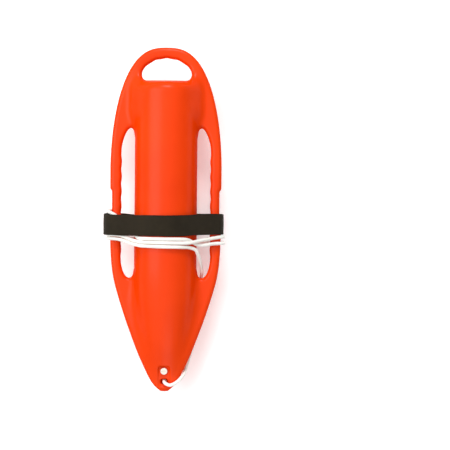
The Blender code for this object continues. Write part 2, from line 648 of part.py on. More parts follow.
def ring_keeper(finish):
    """A short webbing loop sewn to the strap, with the ring's bar inside it."""
    bar, _, _ = ring_frame()
    lean = STRAP_OUTSIDE.leans[0]
    bore = RING_WIRE_RADIUS + KEEPER_CLEARANCE
    outside = bore + KEEPER_WALL
    floor = -RING_LIFT + GAP
    loop = [(outside * cos(a), outside * sin(a)) for a in [radians(-82.0 + 172.0 * i / 9) for i in range(10)]]
    loop += [(-0.0060, floor + 0.0060), (-0.0105, floor + 0.0044), (-0.0112, floor)]
    inner = [(bore * cos(tau * i / 14), bore * sin(tau * i / 14)) for i in range(14)]
    data = bpy.data.curves.new("ring_keeper", "CURVE")
    data.dimensions = "2D"
    data.fill_mode = "BOTH"
    data.extrude = KEEPER_HALF_WIDTH
    for ring in (loop, inner):
        spline = data.splines.new("POLY")
        spline.points.add(len(ring) - 1)
        spline.use_cyclic_u = True
        for point, (u, w) in zip(spline.points, ring):
            point.co = (u, w, 0.0, 1.0)
    keeper = add_object("ring_keeper_drawing", data)
    bpy.context.view_layer.update()
    mesh = bpy.data.meshes.new_from_object(keeper.evaluated_get(bpy.context.evaluated_depsgraph_get()))
    bpy.data.objects.remove(keeper)
    along = np.array([-sin(lean), 0.0, cos(lean)])
    off = np.array([-cos(lean), 0.0, -sin(lean)])
    for vertex in mesh.vertices:
        u, w, v = vertex.co
        vertex.co = Vector(bar + along * u + off * w + LENGTHWISE * v)
    tidy = bmesh.new()
    tidy.from_mesh(mesh)
    bmesh.ops.remove_doubles(tidy, verts=tidy.verts, dist=0.00001)
    bmesh.ops.recalc_face_normals(tidy, faces=tidy.faces)
    tidy.to_mesh(mesh)
    tidy.free()
    return add_object("ring_keeper", mesh, finish)


def line_hitch(finish):
    """The line's tied end: one round turn over the ring's bow, and the knot that holds it."""
    bar, out, away = ring_frame()
    sides = 18
    knot_rows = 9
    bow = bar + out * RING_REACH
    points = []
    for i in range(knot_rows + 1):
        angle = pi * i / knot_rows
        shift = -HITCH_KNOT_RADIUS * cos(angle)
        radius = max(HITCH_KNOT_RADIUS * sin(angle), 0.0018)
        centre = bar + out * (HITCH_KNOT_REACH + shift)
        points.append([centre + radius * (cos(tau * j / sides) * away + sin(tau * j / sides) * LENGTHWISE)
                       for j in range(sides)])
    knot = add_object("line_hitch", loft("line_hitch", points), finish)
    turn = [bow + HITCH_EYE_RADIUS * (cos(tau * i / 20) * out + sin(tau * i / 20) * away) for i in range(20)]
    eye = tube("hitch_eye", turn, HITCH_EYE_WIRE, closed=True)
    bpy.context.view_layer.update()
    mesh = bpy.data.meshes.new_from_object(eye.evaluated_get(bpy.context.evaluated_depsgraph_get()))
    bpy.data.objects.remove(eye)
    boolean(knot, cutter("hitch_eye", mesh), "UNION")
    return knot


def main():
    clear_scene()
    orange = material("moulded_orange", (0.92, 0.070, 0.008), 0.38)
    white = material("vent_white", (0.80, 0.78, 0.72), 0.35)
    brass = material("bush_brass", (0.62, 0.45, 0.20), 0.30, 1.0)
    rubber = material("seal_rubber", (0.02, 0.02, 0.02), 0.70)
    rope = material("line_white", (0.86, 0.84, 0.77), 0.75)
    webbing = material("strap_black", (0.022, 0.019, 0.015), 0.80)
    steel = material("ring_steel", (0.62, 0.62, 0.64), 0.22, 1.0)
    float_shell(orange)
    vent_parts({"bush": brass, "seal": rubber, "plug": white})
    tow_line(rope)
    stopper_knot(rope)
    line_hitch(rope)
    shoulder_strap(webbing)
    strap_joint(webbing)
    ring_keeper(webbing)
    strap_ring(steel)


main()
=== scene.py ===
"""Looks of the rescue can: a moulded float, its braided tow line and its webbing shoulder strap.

Metres, +Z up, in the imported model's frame: the can lies on its back, its nose towards -Y.
"""
from itertools import product
from math import acos, cos, pi, radians, sin, tau

import bmesh
import bpy
import numpy as np
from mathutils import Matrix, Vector


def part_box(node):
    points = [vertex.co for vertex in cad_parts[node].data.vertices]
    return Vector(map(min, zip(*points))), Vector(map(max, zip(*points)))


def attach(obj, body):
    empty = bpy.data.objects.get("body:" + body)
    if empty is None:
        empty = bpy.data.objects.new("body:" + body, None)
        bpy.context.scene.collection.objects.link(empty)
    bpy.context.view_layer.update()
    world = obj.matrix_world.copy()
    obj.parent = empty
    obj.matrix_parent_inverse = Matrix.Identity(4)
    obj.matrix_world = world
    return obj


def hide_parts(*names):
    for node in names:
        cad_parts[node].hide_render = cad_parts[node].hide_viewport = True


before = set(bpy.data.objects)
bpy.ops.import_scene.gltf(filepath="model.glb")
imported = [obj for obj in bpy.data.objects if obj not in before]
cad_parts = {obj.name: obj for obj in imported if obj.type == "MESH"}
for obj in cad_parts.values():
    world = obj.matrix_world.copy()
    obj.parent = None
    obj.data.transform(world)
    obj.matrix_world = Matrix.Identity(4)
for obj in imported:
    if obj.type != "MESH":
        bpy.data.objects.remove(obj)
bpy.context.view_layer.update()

SHELL_LOW, SHELL_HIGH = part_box("float_shell")
MID_Z = 0.5 * (SHELL_LOW.z + SHELL_HIGH.z)
HALF_LENGTH = 0.5 * (SHELL_HIGH.y - SHELL_LOW.y)
HALF_WIDTH = 0.5 * (SHELL_HIGH.x - SHELL_LOW.x)
TORSO_HALF_DEPTH = 0.5 * (SHELL_HIGH.z - SHELL_LOW.z)

# ---------------------------------------------------------------- camera
FRAME_WIDTH = 0.986          # what the picture spans at the can's middle plane
CAMERA_HEIGHT = 3.0          # above the middle plane
CAMERA_ROLL = 0.0088
CAMERA_X = 0.1302
CAMERA_Y = -0.0123


def make_camera():
    data = bpy.data.cameras.new("camera")
    data.sensor_width = 36.0
    data.lens = data.sensor_width * CAMERA_HEIGHT / FRAME_WIDTH
    camera = bpy.data.objects.new("camera", data)
    camera.location = (CAMERA_X, CAMERA_Y, MID_Z + CAMERA_HEIGHT)
    camera.rotation_euler = (0.0, 0.0, CAMERA_ROLL)
    bpy.context.scene.collection.objects.link(camera)
    bpy.context.scene.camera = camera


make_camera()


# ---------------------------------------------------------------- mesh helpers
def mesh_object(name, points, faces, smooth=True):
    mesh = bpy.data.meshes.new(name)
    points = np.asarray(points, dtype=np.float32)
    mesh.vertices.add(len(points))
    mesh.vertices.foreach_set("co", points.ravel())
    sizes = np.array([len(f) for f in faces], dtype=np.int32)
    corners = np.concatenate([np.asarray(f, dtype=np.int32) for f in faces])
    mesh.loops.add(int(sizes.sum()))
    mesh.loops.foreach_set("vertex_index", corners)
    mesh.polygons.add(len(faces))
    mesh.polygons.foreach_set("loop_start", np.concatenate([[0], np.cumsum(sizes)[:-1]]).astype(np.int32))
    mesh.update(calc_edges=True)
    mesh.validate()
    if smooth:
        mesh.shade_smooth()
    made = bpy.data.objects.new(name, mesh)
    bpy.context.scene.collection.objects.link(made)
    return made


def grid_faces(rows, columns, close_rows=False):
    """Quads over a rows by columns tube of points, its columns closed into rings."""
    i = np.arange(rows if close_rows else rows - 1)[:, None]
    j = np.arange(columns)[None, :]
    i2 = (i + 1) % rows
    j2 = (j + 1) % columns
    quads = np.stack([i * columns + j, i * columns + j2, i2 * columns + j2, i2 * columns + j], axis=-1)
    return quads.reshape(-1, 4)


def sheet_uv(made, rows, columns, along, across):
    """UVs in metres on a tube made by grid_faces: along its rows, round its columns, and on any end caps."""
    u = np.stack([along[:-1], along[:-1], along[1:], along[1:]], axis=-1)[:, None, :]
    v = np.stack([across[:-1], across[1:], across[1:], across[:-1]], axis=-1)[None, :, :]
    uv = np.stack(np.broadcast_arrays(u, v), axis=-1).reshape(-1, 2)
    if len(along) == rows:
        ring = across[:columns]
        caps = [(np.full(columns, along[0]), ring[::-1]), (np.full(columns, along[-1]), ring)]
        uv = np.concatenate([uv] + [np.stack(cap, axis=-1) for cap in caps])
    made.data.uv_layers.new(name="UVMap").data.foreach_set("uv", uv.astype(np.float32).ravel())


def normalised(v):
    return v / np.linalg.norm(v, axis=-1, keepdims=True)


def travel_along(path):
    """Distance from the path's start to each of its points."""
    return np.concatenate([[0.0], np.cumsum(np.linalg.norm(np.diff(path, axis=0), axis=1))])


def turning_frames(path):
    """Tangent, side and up at each point, carried along without twist."""
    tangent = normalised(np.gradient(path, axis=0))
    side = np.cross(tangent[0], [0.0, 0.0, 1.0])
    if np.linalg.norm(side) < 0.2:
        side = np.cross(tangent[0], [0.0, 1.0, 0.0])
    side = side / np.linalg.norm(side)
    sides = []
    for t in tangent:
        side = side - t * side.dot(t)
        side = side / np.linalg.norm(side)
        sides.append(side)
    sides = np.array(sides)
    return tangent, sides, np.cross(tangent, sides)


def smooth_route(points, spacing):
    """Evenly spaced points on a centripetal spline through the route's own points."""
    points = [np.array(p, dtype=float) for p in points]
    points = [2 * points[0] - points[1]] + points + [2 * points[-1] - points[-2]]
    fine = []
    for p0, p1, p2, p3 in zip(points, points[1:], points[2:], points[3:]):
        t1 = np.linalg.norm(p1 - p0) ** 0.5
        t2 = t1 + np.linalg.norm(p2 - p1) ** 0.5
        t3 = t2 + np.linalg.norm(p3 - p2) ** 0.5
        t = np.linspace(t1, t2, 24, endpoint=False)[:, None]
        a1 = (t1 - t) / t1 * p0 + t / t1 * p1
        a2 = (t2 - t) / (t2 - t1) * p1 + (t - t1) / (t2 - t1) * p2
        a3 = (t3 - t) / (t3 - t2) * p2 + (t - t2) / (t3 - t2) * p3
        b1 = (t2 - t) / t2 * a1 + t / t2 * a2
        b2 = (t3 - t) / (t3 - t1) * a2 + (t - t1) / (t3 - t1) * a3
        fine.append((t2 - t) / (t2 - t1) * b1 + (t - t1) / (t2 - t1) * b2)
    fine.append(points[-2][None, :])
    fine = np.concatenate(fine)
    travel = travel_along(fine)
    count = int(round(travel[-1] / spacing)) + 1
    wanted = np.linspace(0.0, travel[-1], count)
    return np.stack([np.interp(wanted, travel, fine[:, k]) for k in range(3)], axis=1)


# ---------------------------------------------------------------- what is wound round the can
HANDLE_CENTRE = 0.1103
HANDLE_RADIUS = 0.0123
GAP = 0.0003
LINE_RADIUS = 0.0038
LINE_CLEARANCE = 0.0011
STRAP_THICKNESS = 0.0046
STRAP_WIDTH = 0.045
TOW_HOLE_Y = -0.3555
KNOT_TOP = -0.0132


class Wrap:
    """The taut loop round the torso and both side handles, at some distance outside them.

    Travel starts at the middle of the front and runs left, round the back and up the right side.
    """

    def __init__(self, torso_offset, left_offset, right_offset):
        self.torso = TORSO_HALF_DEPTH + torso_offset
        self.handles = (HANDLE_RADIUS + left_offset, HANDLE_RADIUS + right_offset)
        self.leans = [acos((self.torso - handle) / HANDLE_CENTRE) for handle in self.handles]
        self.quarters = [self.torso * (0.5 * pi - lean) + HANDLE_CENTRE * sin(lean) + handle * lean
                         for lean, handle in zip(self.leans, self.handles)]
        self.length = 2 * sum(self.quarters)

    def quadrant(self, side, along):
        """Place and outward normal's angle in one quarter, measured from the torso's middle."""
        lean = self.leans[side]
        handle = self.handles[side]
        arc = self.torso * (0.5 * pi - lean)
        straight = HANDLE_CENTRE * sin(lean)
        if along < arc:
            angle = 0.5 * pi - along / self.torso
            return self.torso * cos(angle), self.torso * sin(angle), angle
        if along < arc + straight:
            run = along - arc
            return (self.torso * cos(lean) + run * sin(lean), self.torso * sin(lean) - run * cos(lean), lean)
        angle = lean - (along - arc - straight) / handle
        return HANDLE_CENTRE + handle * cos(angle), handle * sin(angle), angle

    def place(self, travel, y, lift=0.0):
        left, right = self.quarters
        travel = travel % self.length
        if travel < 2 * left:
            side, across, along = 0, -1.0, travel
        else:
            side, across, along = 1, 1.0, self.length - travel
        quarter = self.quarters[side]
        up = 1.0 if along < quarter else -1.0
        x, z, angle = self.quadrant(side, min(along, 2 * quarter - along))
        return np.array([across * (x + lift * cos(angle)), y, MID_Z + up * (z + lift * sin(angle))])


LINE_WRAP = Wrap(LINE_RADIUS + LINE_CLEARANCE, LINE_RADIUS + LINE_CLEARANCE, LINE_RADIUS + LINE_CLEARANCE)
STRAP_OVER_LINE = 2 * LINE_RADIUS + LINE_CLEARANCE + GAP
STRAP_WRAP = Wrap(GAP, STRAP_OVER_LINE, GAP)
STRAP_OUTSIDE = Wrap(GAP + STRAP_THICKNESS, STRAP_OVER_LINE + STRAP_THICKNESS, GAP + STRAP_THICKNESS)

# The line, from its stopper knot up through the tow hole, over the nose's right edge and behind it,
# then forward through the front end of the right slot.  Heights are from the middle plane.
NOSE_ROUTE = (
    (0.0, TOW_HOLE_Y, KNOT_TOP + GAP), (0.0, TOW_HOLE_Y, 0.0), (0.0005, -0.3558, 0.0105), (0.0045, -0.3592, 0.0170),
    (0.0130, -0.3622, 0.0172), (0.0226, -0.3593, 0.0148), (0.0305, -0.3540, 0.0124), (0.0382, -0.3458, 0.0092),
    (0.0436, -0.3382, 0.0), (0.0462, -0.3300, -0.0086), (0.0482, -0.3230, -0.0114), (0.0526, -0.3093, -0.0134),
    (0.0574, -0.2917, -0.0155), (0.0618, -0.2725, -0.0174), (0.0668, -0.2480, -0.0190), (0.0706, -0.2150, -0.0195),
    (0.0730, -0.1800, -0.0185), (0.0755, -0.1550, -0.0175), (0.0780, -0.1400, -0.0165), (0.0795, -0.1240, -0.0110),
    (0.0800, -0.1120, 0.0010), (0.0780, -0.1000, 0.0140), (0.0755, -0.0870, 0.0260), (0.0715, -0.0755, 0.0370),
    (0.0675, -0.0670, 0.0440),
)
# The windings as travel, y and any lift off the taut loop: three strands cross the front
FIRST_STRAND = (
    (-0.056, -0.0612), (-0.030, -0.0606), (0.0, -0.0602), (0.035, -0.0592), (0.054, -0.0584), (0.073, -0.0555),
    (0.092, -0.0508), (0.109, -0.0458), (0.135, -0.0436), (0.152, -0.0434), (0.169, -0.0437), (0.200, -0.0475),
    (0.230, -0.0523), (0.262, -0.0530), (0.304, -0.0532), (0.345, -0.0532), (0.369, -0.0527), (0.381, -0.0508),
    (0.399, -0.0462), (0.417, -0.0415), (0.438, -0.0384), (0.455, -0.0382), (0.472, -0.0386), (0.494, -0.0415),
    (0.510, -0.0440, 0.0008), (0.527, -0.0465, 0.0026), (0.541, -0.0492, 0.0046), (0.549, -0.0506, 0.0052),
    (0.557, -0.0514, 0.0049), (0.566, -0.0519, 0.0032), (0.580, -0.0519, 0.0009),
)
SECOND_STRAND = (
    (0.0, -0.0518), (0.035, -0.0513), (0.054, -0.0506), (0.073, -0.0476), (0.090, -0.0430, -0.0006),
    (0.101, -0.0398, -0.0034), (0.114, -0.0368, -0.0030), (0.135, -0.0355, -0.0008), (0.152, -0.0354, -0.0004),
    (0.169, -0.0356, -0.0008), (0.185, -0.0366, -0.0026), (0.200, -0.0396, -0.0028), (0.213, -0.0426, -0.0010),
    (0.230, -0.0445), (0.262, -0.0450), (0.304, -0.0452), (0.345, -0.0452), (0.361, -0.0450, -0.0014),
    (0.371, -0.0454, -0.0044), (0.381, -0.0466, -0.0078), (0.393, -0.0488, -0.0084), (0.407, -0.0507, -0.0074),
    (0.421, -0.0518, -0.0032), (0.438, -0.0520), (0.455, -0.0521), (0.472, -0.0525), (0.494, -0.0535),
    (0.510, -0.0556, -0.0008), (0.525, -0.0566, -0.0030), (0.534, -0.0545, -0.0048), (0.541, -0.0512, -0.0046),
    (0.548, -0.0477, -0.0028), (0.556, -0.0452, -0.0008), (0.566, -0.0440), (0.580, -0.0437),
)
THIRD_STRAND = (
    (0.0, -0.0437), (0.035, -0.0433), (0.053, -0.0429, -0.0002), (0.061, -0.0423, -0.0026),
    (0.069, -0.0400, -0.0062), (0.081, -0.0290, -0.0064), (0.100, -0.0120, -0.0044), (0.120, 0.0040, -0.0026),
    (0.136, 0.0125, -0.0008), (0.152, 0.0160, -0.0002), (0.168, 0.0172, 0.0004),
)
# The last stretch climbs over the strap's edge to the hitch, as distance from the back's middle
LAST_STRETCH = ((0.1240, 0.0160, 0.0000), (0.1130, 0.0100, 0.0046), (0.1020, 0.0020, 0.0062))

RING_FROM_BACK = 0.042
RING_LIFT = 0.0053
RING_Y = -0.0130
RING_TILT = radians(12.0)
RING_REACH = 0.027
RING_HALF_WIDTH = 0.0215
RING_WIRE_RADIUS = 0.0025
HITCH_KNOT_REACH = 0.0410
HITCH_KNOT_RADIUS = 0.0082
HITCH_CLEARANCE = 0.0004
HITCH_RUN_IN = 0.006
LENGTHWISE = np.array([0.0, 1.0, 0.0])


BACK_MIDDLE = 2 * STRAP_OUTSIDE.quarters[0]

# Under the strap's left side: the ring's bar, the ways along and off the strap there, and the ring's own
LEAN = STRAP_OUTSIDE.leans[0]
ALONG_STRAP = np.array([-sin(LEAN), 0.0, cos(LEAN)])
OFF_STRAP = np.array([-cos(LEAN), 0.0, -sin(LEAN)])
BAR = STRAP_OUTSIDE.place(BACK_MIDDLE - RING_FROM_BACK, RING_Y, RING_LIFT)
OUT = cos(RING_TILT) * ALONG_STRAP + sin(RING_TILT) * OFF_STRAP
AWAY = cos(RING_TILT) * OFF_STRAP - sin(RING_TILT) * ALONG_STRAP


def line_route(spacing):
    """The whole line's centreline, stopper knot first and hitch last."""
    stations = [(travel + lap * LINE_WRAP.length, y, lift[0] if lift else 0.0)
                for lap, strand in enumerate((FIRST_STRAND, SECOND_STRAND, THIRD_STRAND))
                for travel, y, *lift in strand]
    nose = [(x, y, MID_Z + z) for x, y, z in NOSE_ROUTE]
    wound = [LINE_WRAP.place(*station) for station in smooth_route(stations, 0.005)]
    last = [STRAP_OUTSIDE.place(BACK_MIDDLE - distance, y, LINE_RADIUS + lift)
            for distance, y, lift in LAST_STRETCH]
    knot_end = BAR + OUT * (HITCH_KNOT_REACH + HITCH_KNOT_RADIUS + HITCH_CLEARANCE)
    last += [knot_end + OUT * HITCH_RUN_IN, knot_end]
    return smooth_route(nose + wound[::2] + last, spacing)


BRAID_STRANDS = 8
BRAID_LAY = 0.026
BRAID_RELIEF = 0.00050


def braided_tube(name, path, radius, sides=32):
    """A solid braided line along a path: two sets of strands that pass over and under each other."""
    tangent, side, up = turning_frames(path)
    travel = travel_along(path)
    angle = np.arange(sides) * tau / sides
    rows = travel[:, None] / BRAID_LAY
    around = angle[None, :] / tau
    right = BRAID_STRANDS * (around + rows)
    left = BRAID_STRANDS * (around - rows)
    over = (np.floor(right) + np.floor(left)) % 2
    crown_right = np.abs(np.sin(pi * right)) ** 0.6
    crown_left = np.abs(np.sin(pi * left)) ** 0.6
    height = np.maximum(crown_right * (0.55 + 0.45 * over), crown_left * (1.0 - 0.45 * over))
    reach = radius - BRAID_RELIEF * (1.0 - height)
    points = (path[:, None, :] + reach[..., None] * (np.cos(angle)[None, :, None] * side[:, None, :]
                                                     + np.sin(angle)[None, :, None] * up[:, None, :]))
    count = len(path)
    faces = list(grid_faces(count, sides))
    faces.append(np.arange(sides)[::-1])
    faces.append(np.arange((count - 1) * sides, count * sides))
    made = mesh_object(name, points.reshape(-1, 3), faces)
    sheet_uv(made, count, sides, travel, np.arange(sides + 1) * (tau * radius / sides))
    return made


line_path = line_route(0.0009)
tow_line = braided_tube("braided_tow_line", line_path, LINE_RADIUS)
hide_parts("tow_line")
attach(tow_line, "can")


# ---------------------------------------------------------------- materials
class Paint:
    """Builds one node material piece by piece."""

    def __init__(self, name):
        self.material = bpy.data.materials.new(name)
        self.material.use_nodes = True
        self.tree = self.material.node_tree
        self.shader = self.tree.nodes["Principled BSDF"]

    def node(self, kind, **settings):
        made = self.tree.nodes.new(kind)
        for key, value in settings.items():
            if hasattr(made, key):
                setattr(made, key, value)
            else:
                made.inputs[key.replace("_", " ")].default_value = value
        return made

    def link(self, source, target):
        self.tree.links.new(source, target)

    def set(self, **values):
        for key, value in values.items():
            self.shader.inputs[key.replace("_", " ")].default_value = value

    def coordinates(self, kind="Object", scale=(1.0, 1.0, 1.0)):
        source = self.node("ShaderNodeTexCoord").outputs[kind]
        mapping = self.node("ShaderNodeMapping")
        mapping.inputs["Scale"].default_value = scale
        self.link(source, mapping.inputs["Vector"])
        return mapping.outputs["Vector"]

    def noise(self, vector, scale, detail, roughness=0.5):
        made = self.node("ShaderNodeTexNoise", Scale=scale, Detail=detail, Roughness=roughness)
        self.link(vector, made.inputs["Vector"])
        return made.outputs["Fac"]

    def ramp(self, factor, stops):
        made = self.node("ShaderNodeValToRGB")
        ramp = made.color_ramp
        while len(ramp.elements) < len(stops):
            ramp.elements.new(0.5)
        for element, (position, colour) in zip(ramp.elements, stops):
            element.position = position
            element.color = (*colour, 1.0)
        self.link(factor, made.inputs["Fac"])
        return made.outputs["Color"]

    def math(self, operation, first, second=None):
        made = self.node("ShaderNodeMath", operation=operation)
        self.link(first, made.inputs[0])
        if isinstance(second, float):
            made.inputs[1].default_value = second
        elif second is not None:
            self.link(second, made.inputs[1])
        return made.outputs["Value"]

    def remap(self, value, low, high, to_low, to_high):
        made = self.node("ShaderNodeMapRange")
        for key, number in (("From Min", low), ("From Max", high), ("To Min", to_low), ("To Max", to_high)):
            made.inputs[key].default_value = number
        self.link(value, made.inputs["Value"])
        return made.outputs["Result"]

    def colour(self, value):
        self.link(value, self.shader.inputs["Base Color"])

    def roughness(self, value):
        self.link(value, self.shader.inputs["Roughness"])

    def bump(self, height, distance, strength, under=None):
        made = self.node("ShaderNodeBump", Strength=strength, Distance=distance)
        self.link(height, made.inputs["Height"])
        if under is not None:
            self.link(under, made.inputs["Normal"])
        self.link(made.outputs["Normal"], self.shader.inputs["Normal"])
        return made.outputs["Normal"]


def moulded_orange():
    """Satin polyethylene: faint clouding, orange peel, a parting line and light handling scuffs."""
    paint = Paint("moulded_orange")
    place = paint.coordinates()
    clouds = paint.noise(place, 9.0, 2.0)
    paint.colour(paint.ramp(clouds, ((0.30, (0.760, 0.0420, 0.0008)), (0.70, (0.830, 0.0500, 0.0014)))))
    scuffs = paint.noise(paint.coordinates(scale=(1.0, 0.25, 1.0)), 210.0, 4.0, 0.65)
    paint.roughness(paint.remap(scuffs, 0.35, 0.75, 0.28, 0.38))
    peel = paint.noise(place, 260.0, 2.0)
    first = paint.bump(peel, 0.00012, 0.35)
    height = paint.node("ShaderNodeSeparateXYZ")
    paint.link(place, height.inputs["Vector"])
    off = paint.math("ABSOLUTE", paint.math("SUBTRACT", height.outputs["Z"], MID_Z))
    seam = paint.remap(off, 0.0, 0.0009, 1.0, 0.0)
    paint.bump(seam, 0.0004, 0.8, first)
    facing = paint.node("ShaderNodeLayerWeight", Blend=0.5).outputs["Facing"]
    paint.link(paint.remap(facing, 0.14, 0.48, 0.16, 0.005), paint.shader.inputs["Specular IOR Level"])
    return paint.material


def braided_cord():
    """Soft polyester braid, warm white, with its fibres' fuzz and a little soiling."""
    paint = Paint("braided_cord")
    place = paint.coordinates()
    soil = paint.noise(place, 26.0, 4.0, 0.6)
    paint.colour(paint.ramp(soil, ((0.25, (0.800, 0.770, 0.690)), (0.60, (0.930, 0.920, 0.880)))))
    fibres = paint.noise(paint.coordinates("UV", (1.0, 0.45, 1.0)), 3200.0, 3.0, 0.7)
    paint.bump(fibres, 0.00018, 0.7)
    paint.set(Roughness=0.80, Specular_IOR_Level=0.25, Sheen_Weight=0.10, Sheen_Roughness=0.6)
    return paint.material


WEAVE_PITCH = 0.0017


def woven_webbing():
    """Heavy nylon webbing: ribs across its width, warp rows along it, brown-black with a dusty sheen, and painted
    shade darkening the weave's hollows.
    """
    paint = Paint("woven_webbing")
    uv = paint.node("ShaderNodeSeparateXYZ")
    paint.link(paint.node("ShaderNodeTexCoord").outputs["UV"], uv.inputs["Vector"])
    along = paint.math("MULTIPLY", uv.outputs["X"], tau / WEAVE_PITCH)
    across = paint.math("MULTIPLY", uv.outputs["Y"], tau / (1.25 * WEAVE_PITCH))
    weave = paint.math("MULTIPLY", paint.math("SINE", along), paint.math("SINE", across))
    ribs = paint.math("ABSOLUTE", paint.math("SINE", paint.math("MULTIPLY", across, 0.5)))
    height = paint.math("ADD", paint.math("MULTIPLY", weave, 0.5), ribs)
    place = paint.coordinates()
    dust = paint.noise(place, 30.0, 5.0, 0.6)
    # painted shade: the colour darkens to about a third where the weave's bump height is low
    weave_hollow_shade = paint.remap(height, -0.4, 1.4, 0.35, 1.0)
    shade = paint.math("MULTIPLY", weave_hollow_shade, paint.remap(dust, 0.3, 0.7, 0.75, 1.15))
    paint.colour(paint.ramp(shade, ((0.25, (0.0060, 0.0040, 0.0014)), (1.0, (0.0270, 0.0190, 0.0085)))))
    fuzz = paint.noise(place, 2400.0, 2.0, 0.6)
    first = paint.bump(height, 0.00045, 0.8)
    paint.bump(fuzz, 0.00010, 0.4, first)
    paint.set(Roughness=0.70, Specular_IOR_Level=0.18)
    return paint.material


def metal(name, dark, light, roughness, grain):
    """Bare metal with fine scratches and faint patches."""
    paint = Paint(name)
    place = paint.coordinates()
    patches = paint.noise(place, 90.0, 4.0, 0.6)
    paint.colour(paint.ramp(patches, ((0.30, dark), (0.70, light))))
    scratches = paint.noise(paint.coordinates(scale=(grain, 1.0, 1.0)), 700.0, 3.0, 0.7)
    paint.roughness(paint.remap(scratches, 0.3, 0.7, roughness * 0.75, roughness * 1.4))
    paint.bump(scratches, 0.00004, 0.4)
    paint.set(Metallic=1.0)
    return paint.material


def plain_plastic(name, dark, light, roughness, specular=0.5):
    """Moulded plastic or rubber with slight mottling and a fine texture."""
    paint = Paint(name)
    place = paint.coordinates()
    mottle = paint.noise(place, 160.0, 3.0, 0.6)
    paint.colour(paint.ramp(mottle, ((0.3, dark), (0.7, light))))
    fine = paint.noise(place, 1500.0, 2.0, 0.5)
    paint.roughness(paint.remap(fine, 0.3, 0.7, roughness * 0.85, roughness * 1.15))
    paint.bump(fine, 0.00005, 0.4)
    paint.set(Specular_IOR_Level=specular)
    return paint.material


ORANGE = moulded_orange()
CORD = braided_cord()
WEBBING = woven_webbing()
THREAD = plain_plastic("stitching_thread", (0.020, 0.016, 0.012), (0.060, 0.048, 0.034), 0.60, 0.3)
STEEL = metal("ring_steel", (0.50, 0.49, 0.47), (0.66, 0.66, 0.66), 0.24, 4.0)
BRASS = metal("bush_brass", (0.46, 0.31, 0.12), (0.66, 0.48, 0.22), 0.30, 1.0)
RUBBER = plain_plastic("seal_rubber", (0.012, 0.012, 0.012), (0.028, 0.027, 0.026), 0.72, 0.3)
PLUG_WHITE = plain_plastic("plug_white", (0.80, 0.72, 0.60), (0.90, 0.85, 0.76), 0.38)


def paint_piece(made, finish):
    made.data.materials.clear()
    made.data.materials.append(finish)


def settle_piece(made, finish, body, stands_for=None):
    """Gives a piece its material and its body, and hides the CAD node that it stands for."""
    paint_piece(made, finish)
    if stands_for:
        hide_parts(stands_for)
    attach(made, body)


paint_piece(tow_line, CORD)


# ---------------------------------------------------------------- float shell
SHELL_GRID = 0.00225          # the mesh's pitch, which keeps it under 200,000 triangles
GRADIENT_STEP = 0.0004
BOARD_HALF_DEPTH = 0.0110
BOARD_ROUND = 0.0090
WIDEST_Y = 0.107
TORSO_HALF_WIDTH = 0.0684
SHOULDER_Y = 0.268
SHOULDER_LENGTH = 0.032
SHOULDER_POWER = 3.5          # two would make the shoulder an ellipsoid
TAPER_Y = -0.110
TAPER_LENGTH = 0.265
SLOT_FILLET = 0.013           # how broadly the torso flows into the board, beside the slots
SHOULDER_FILLET = 0.042       # at the shoulder
NOSE_FILLET = 0.024           # on the nose's front
NOSE_FLOW_REAR_Y = -0.128      # where each broad flow starts and ends
NOSE_FLOW_TIP_Y = -0.362
SHOULDER_FLOW_Y = 0.190
SHOULDER_FLOW_HALF_WIDTH = 0.112
HOLE_ROUND = 0.0105
SLOT_INNER = 0.055
SLOT_OUTER = 0.0981
SLOT_REAR_Y = 0.199
SLOT_FRONT_Y = -0.1296
FINGER_PITCH = 0.032
FINGER_DEPTH = 0.0014
RECESS_DEPTH = 0.004
RECESS_REAR_Y = 0.063
RECESS_FRONT_Y = 0.010
REAR_HOLE_FLOOR_Y = 0.302
REAR_HOLE_TOP_Y = 0.352
REAR_HOLE_HALF_WIDTH = 0.0544
POCKET_REAR_Y = -0.321
POCKET_FRONT_Y = -0.366
POCKET_HALF_WIDTH = 0.0125
POCKET_REAR_Z = 0.0185
POCKET_CORNER = 0.0065
POCKET_ROUND = 0.0030
POCKET_SLOPE = radians(12.0)
TOW_HOLE_HALF_WIDTH = 0.0046
TOW_HOLE_HALF_LENGTH = 0.0046
TOW_HOLE_CORNER = 0.0044
TOW_HOLE_FLARE = 0.0036
TOW_HOLE_ROUND = 0.0022
VENT_BORE_RADIUS = 0.0060
VENT_BORE_DEPTH = 0.0120
VENT_SEAT = np.array([0.0, -0.331223, 0.095827 - 0.0795])


def bezier(start, start_handle, end_handle, end, count):
    """Points along one cubic curve, without its last point."""
    t = (np.arange(count) / count)[:, None]
    u = 1.0 - t
    corners = [np.array(c) for c in (start, start_handle, end_handle, end)]
    return u ** 3 * corners[0] + 3 * u * u * t * corners[1] + 3 * u * t * t * corners[2] + t ** 3 * corners[3]


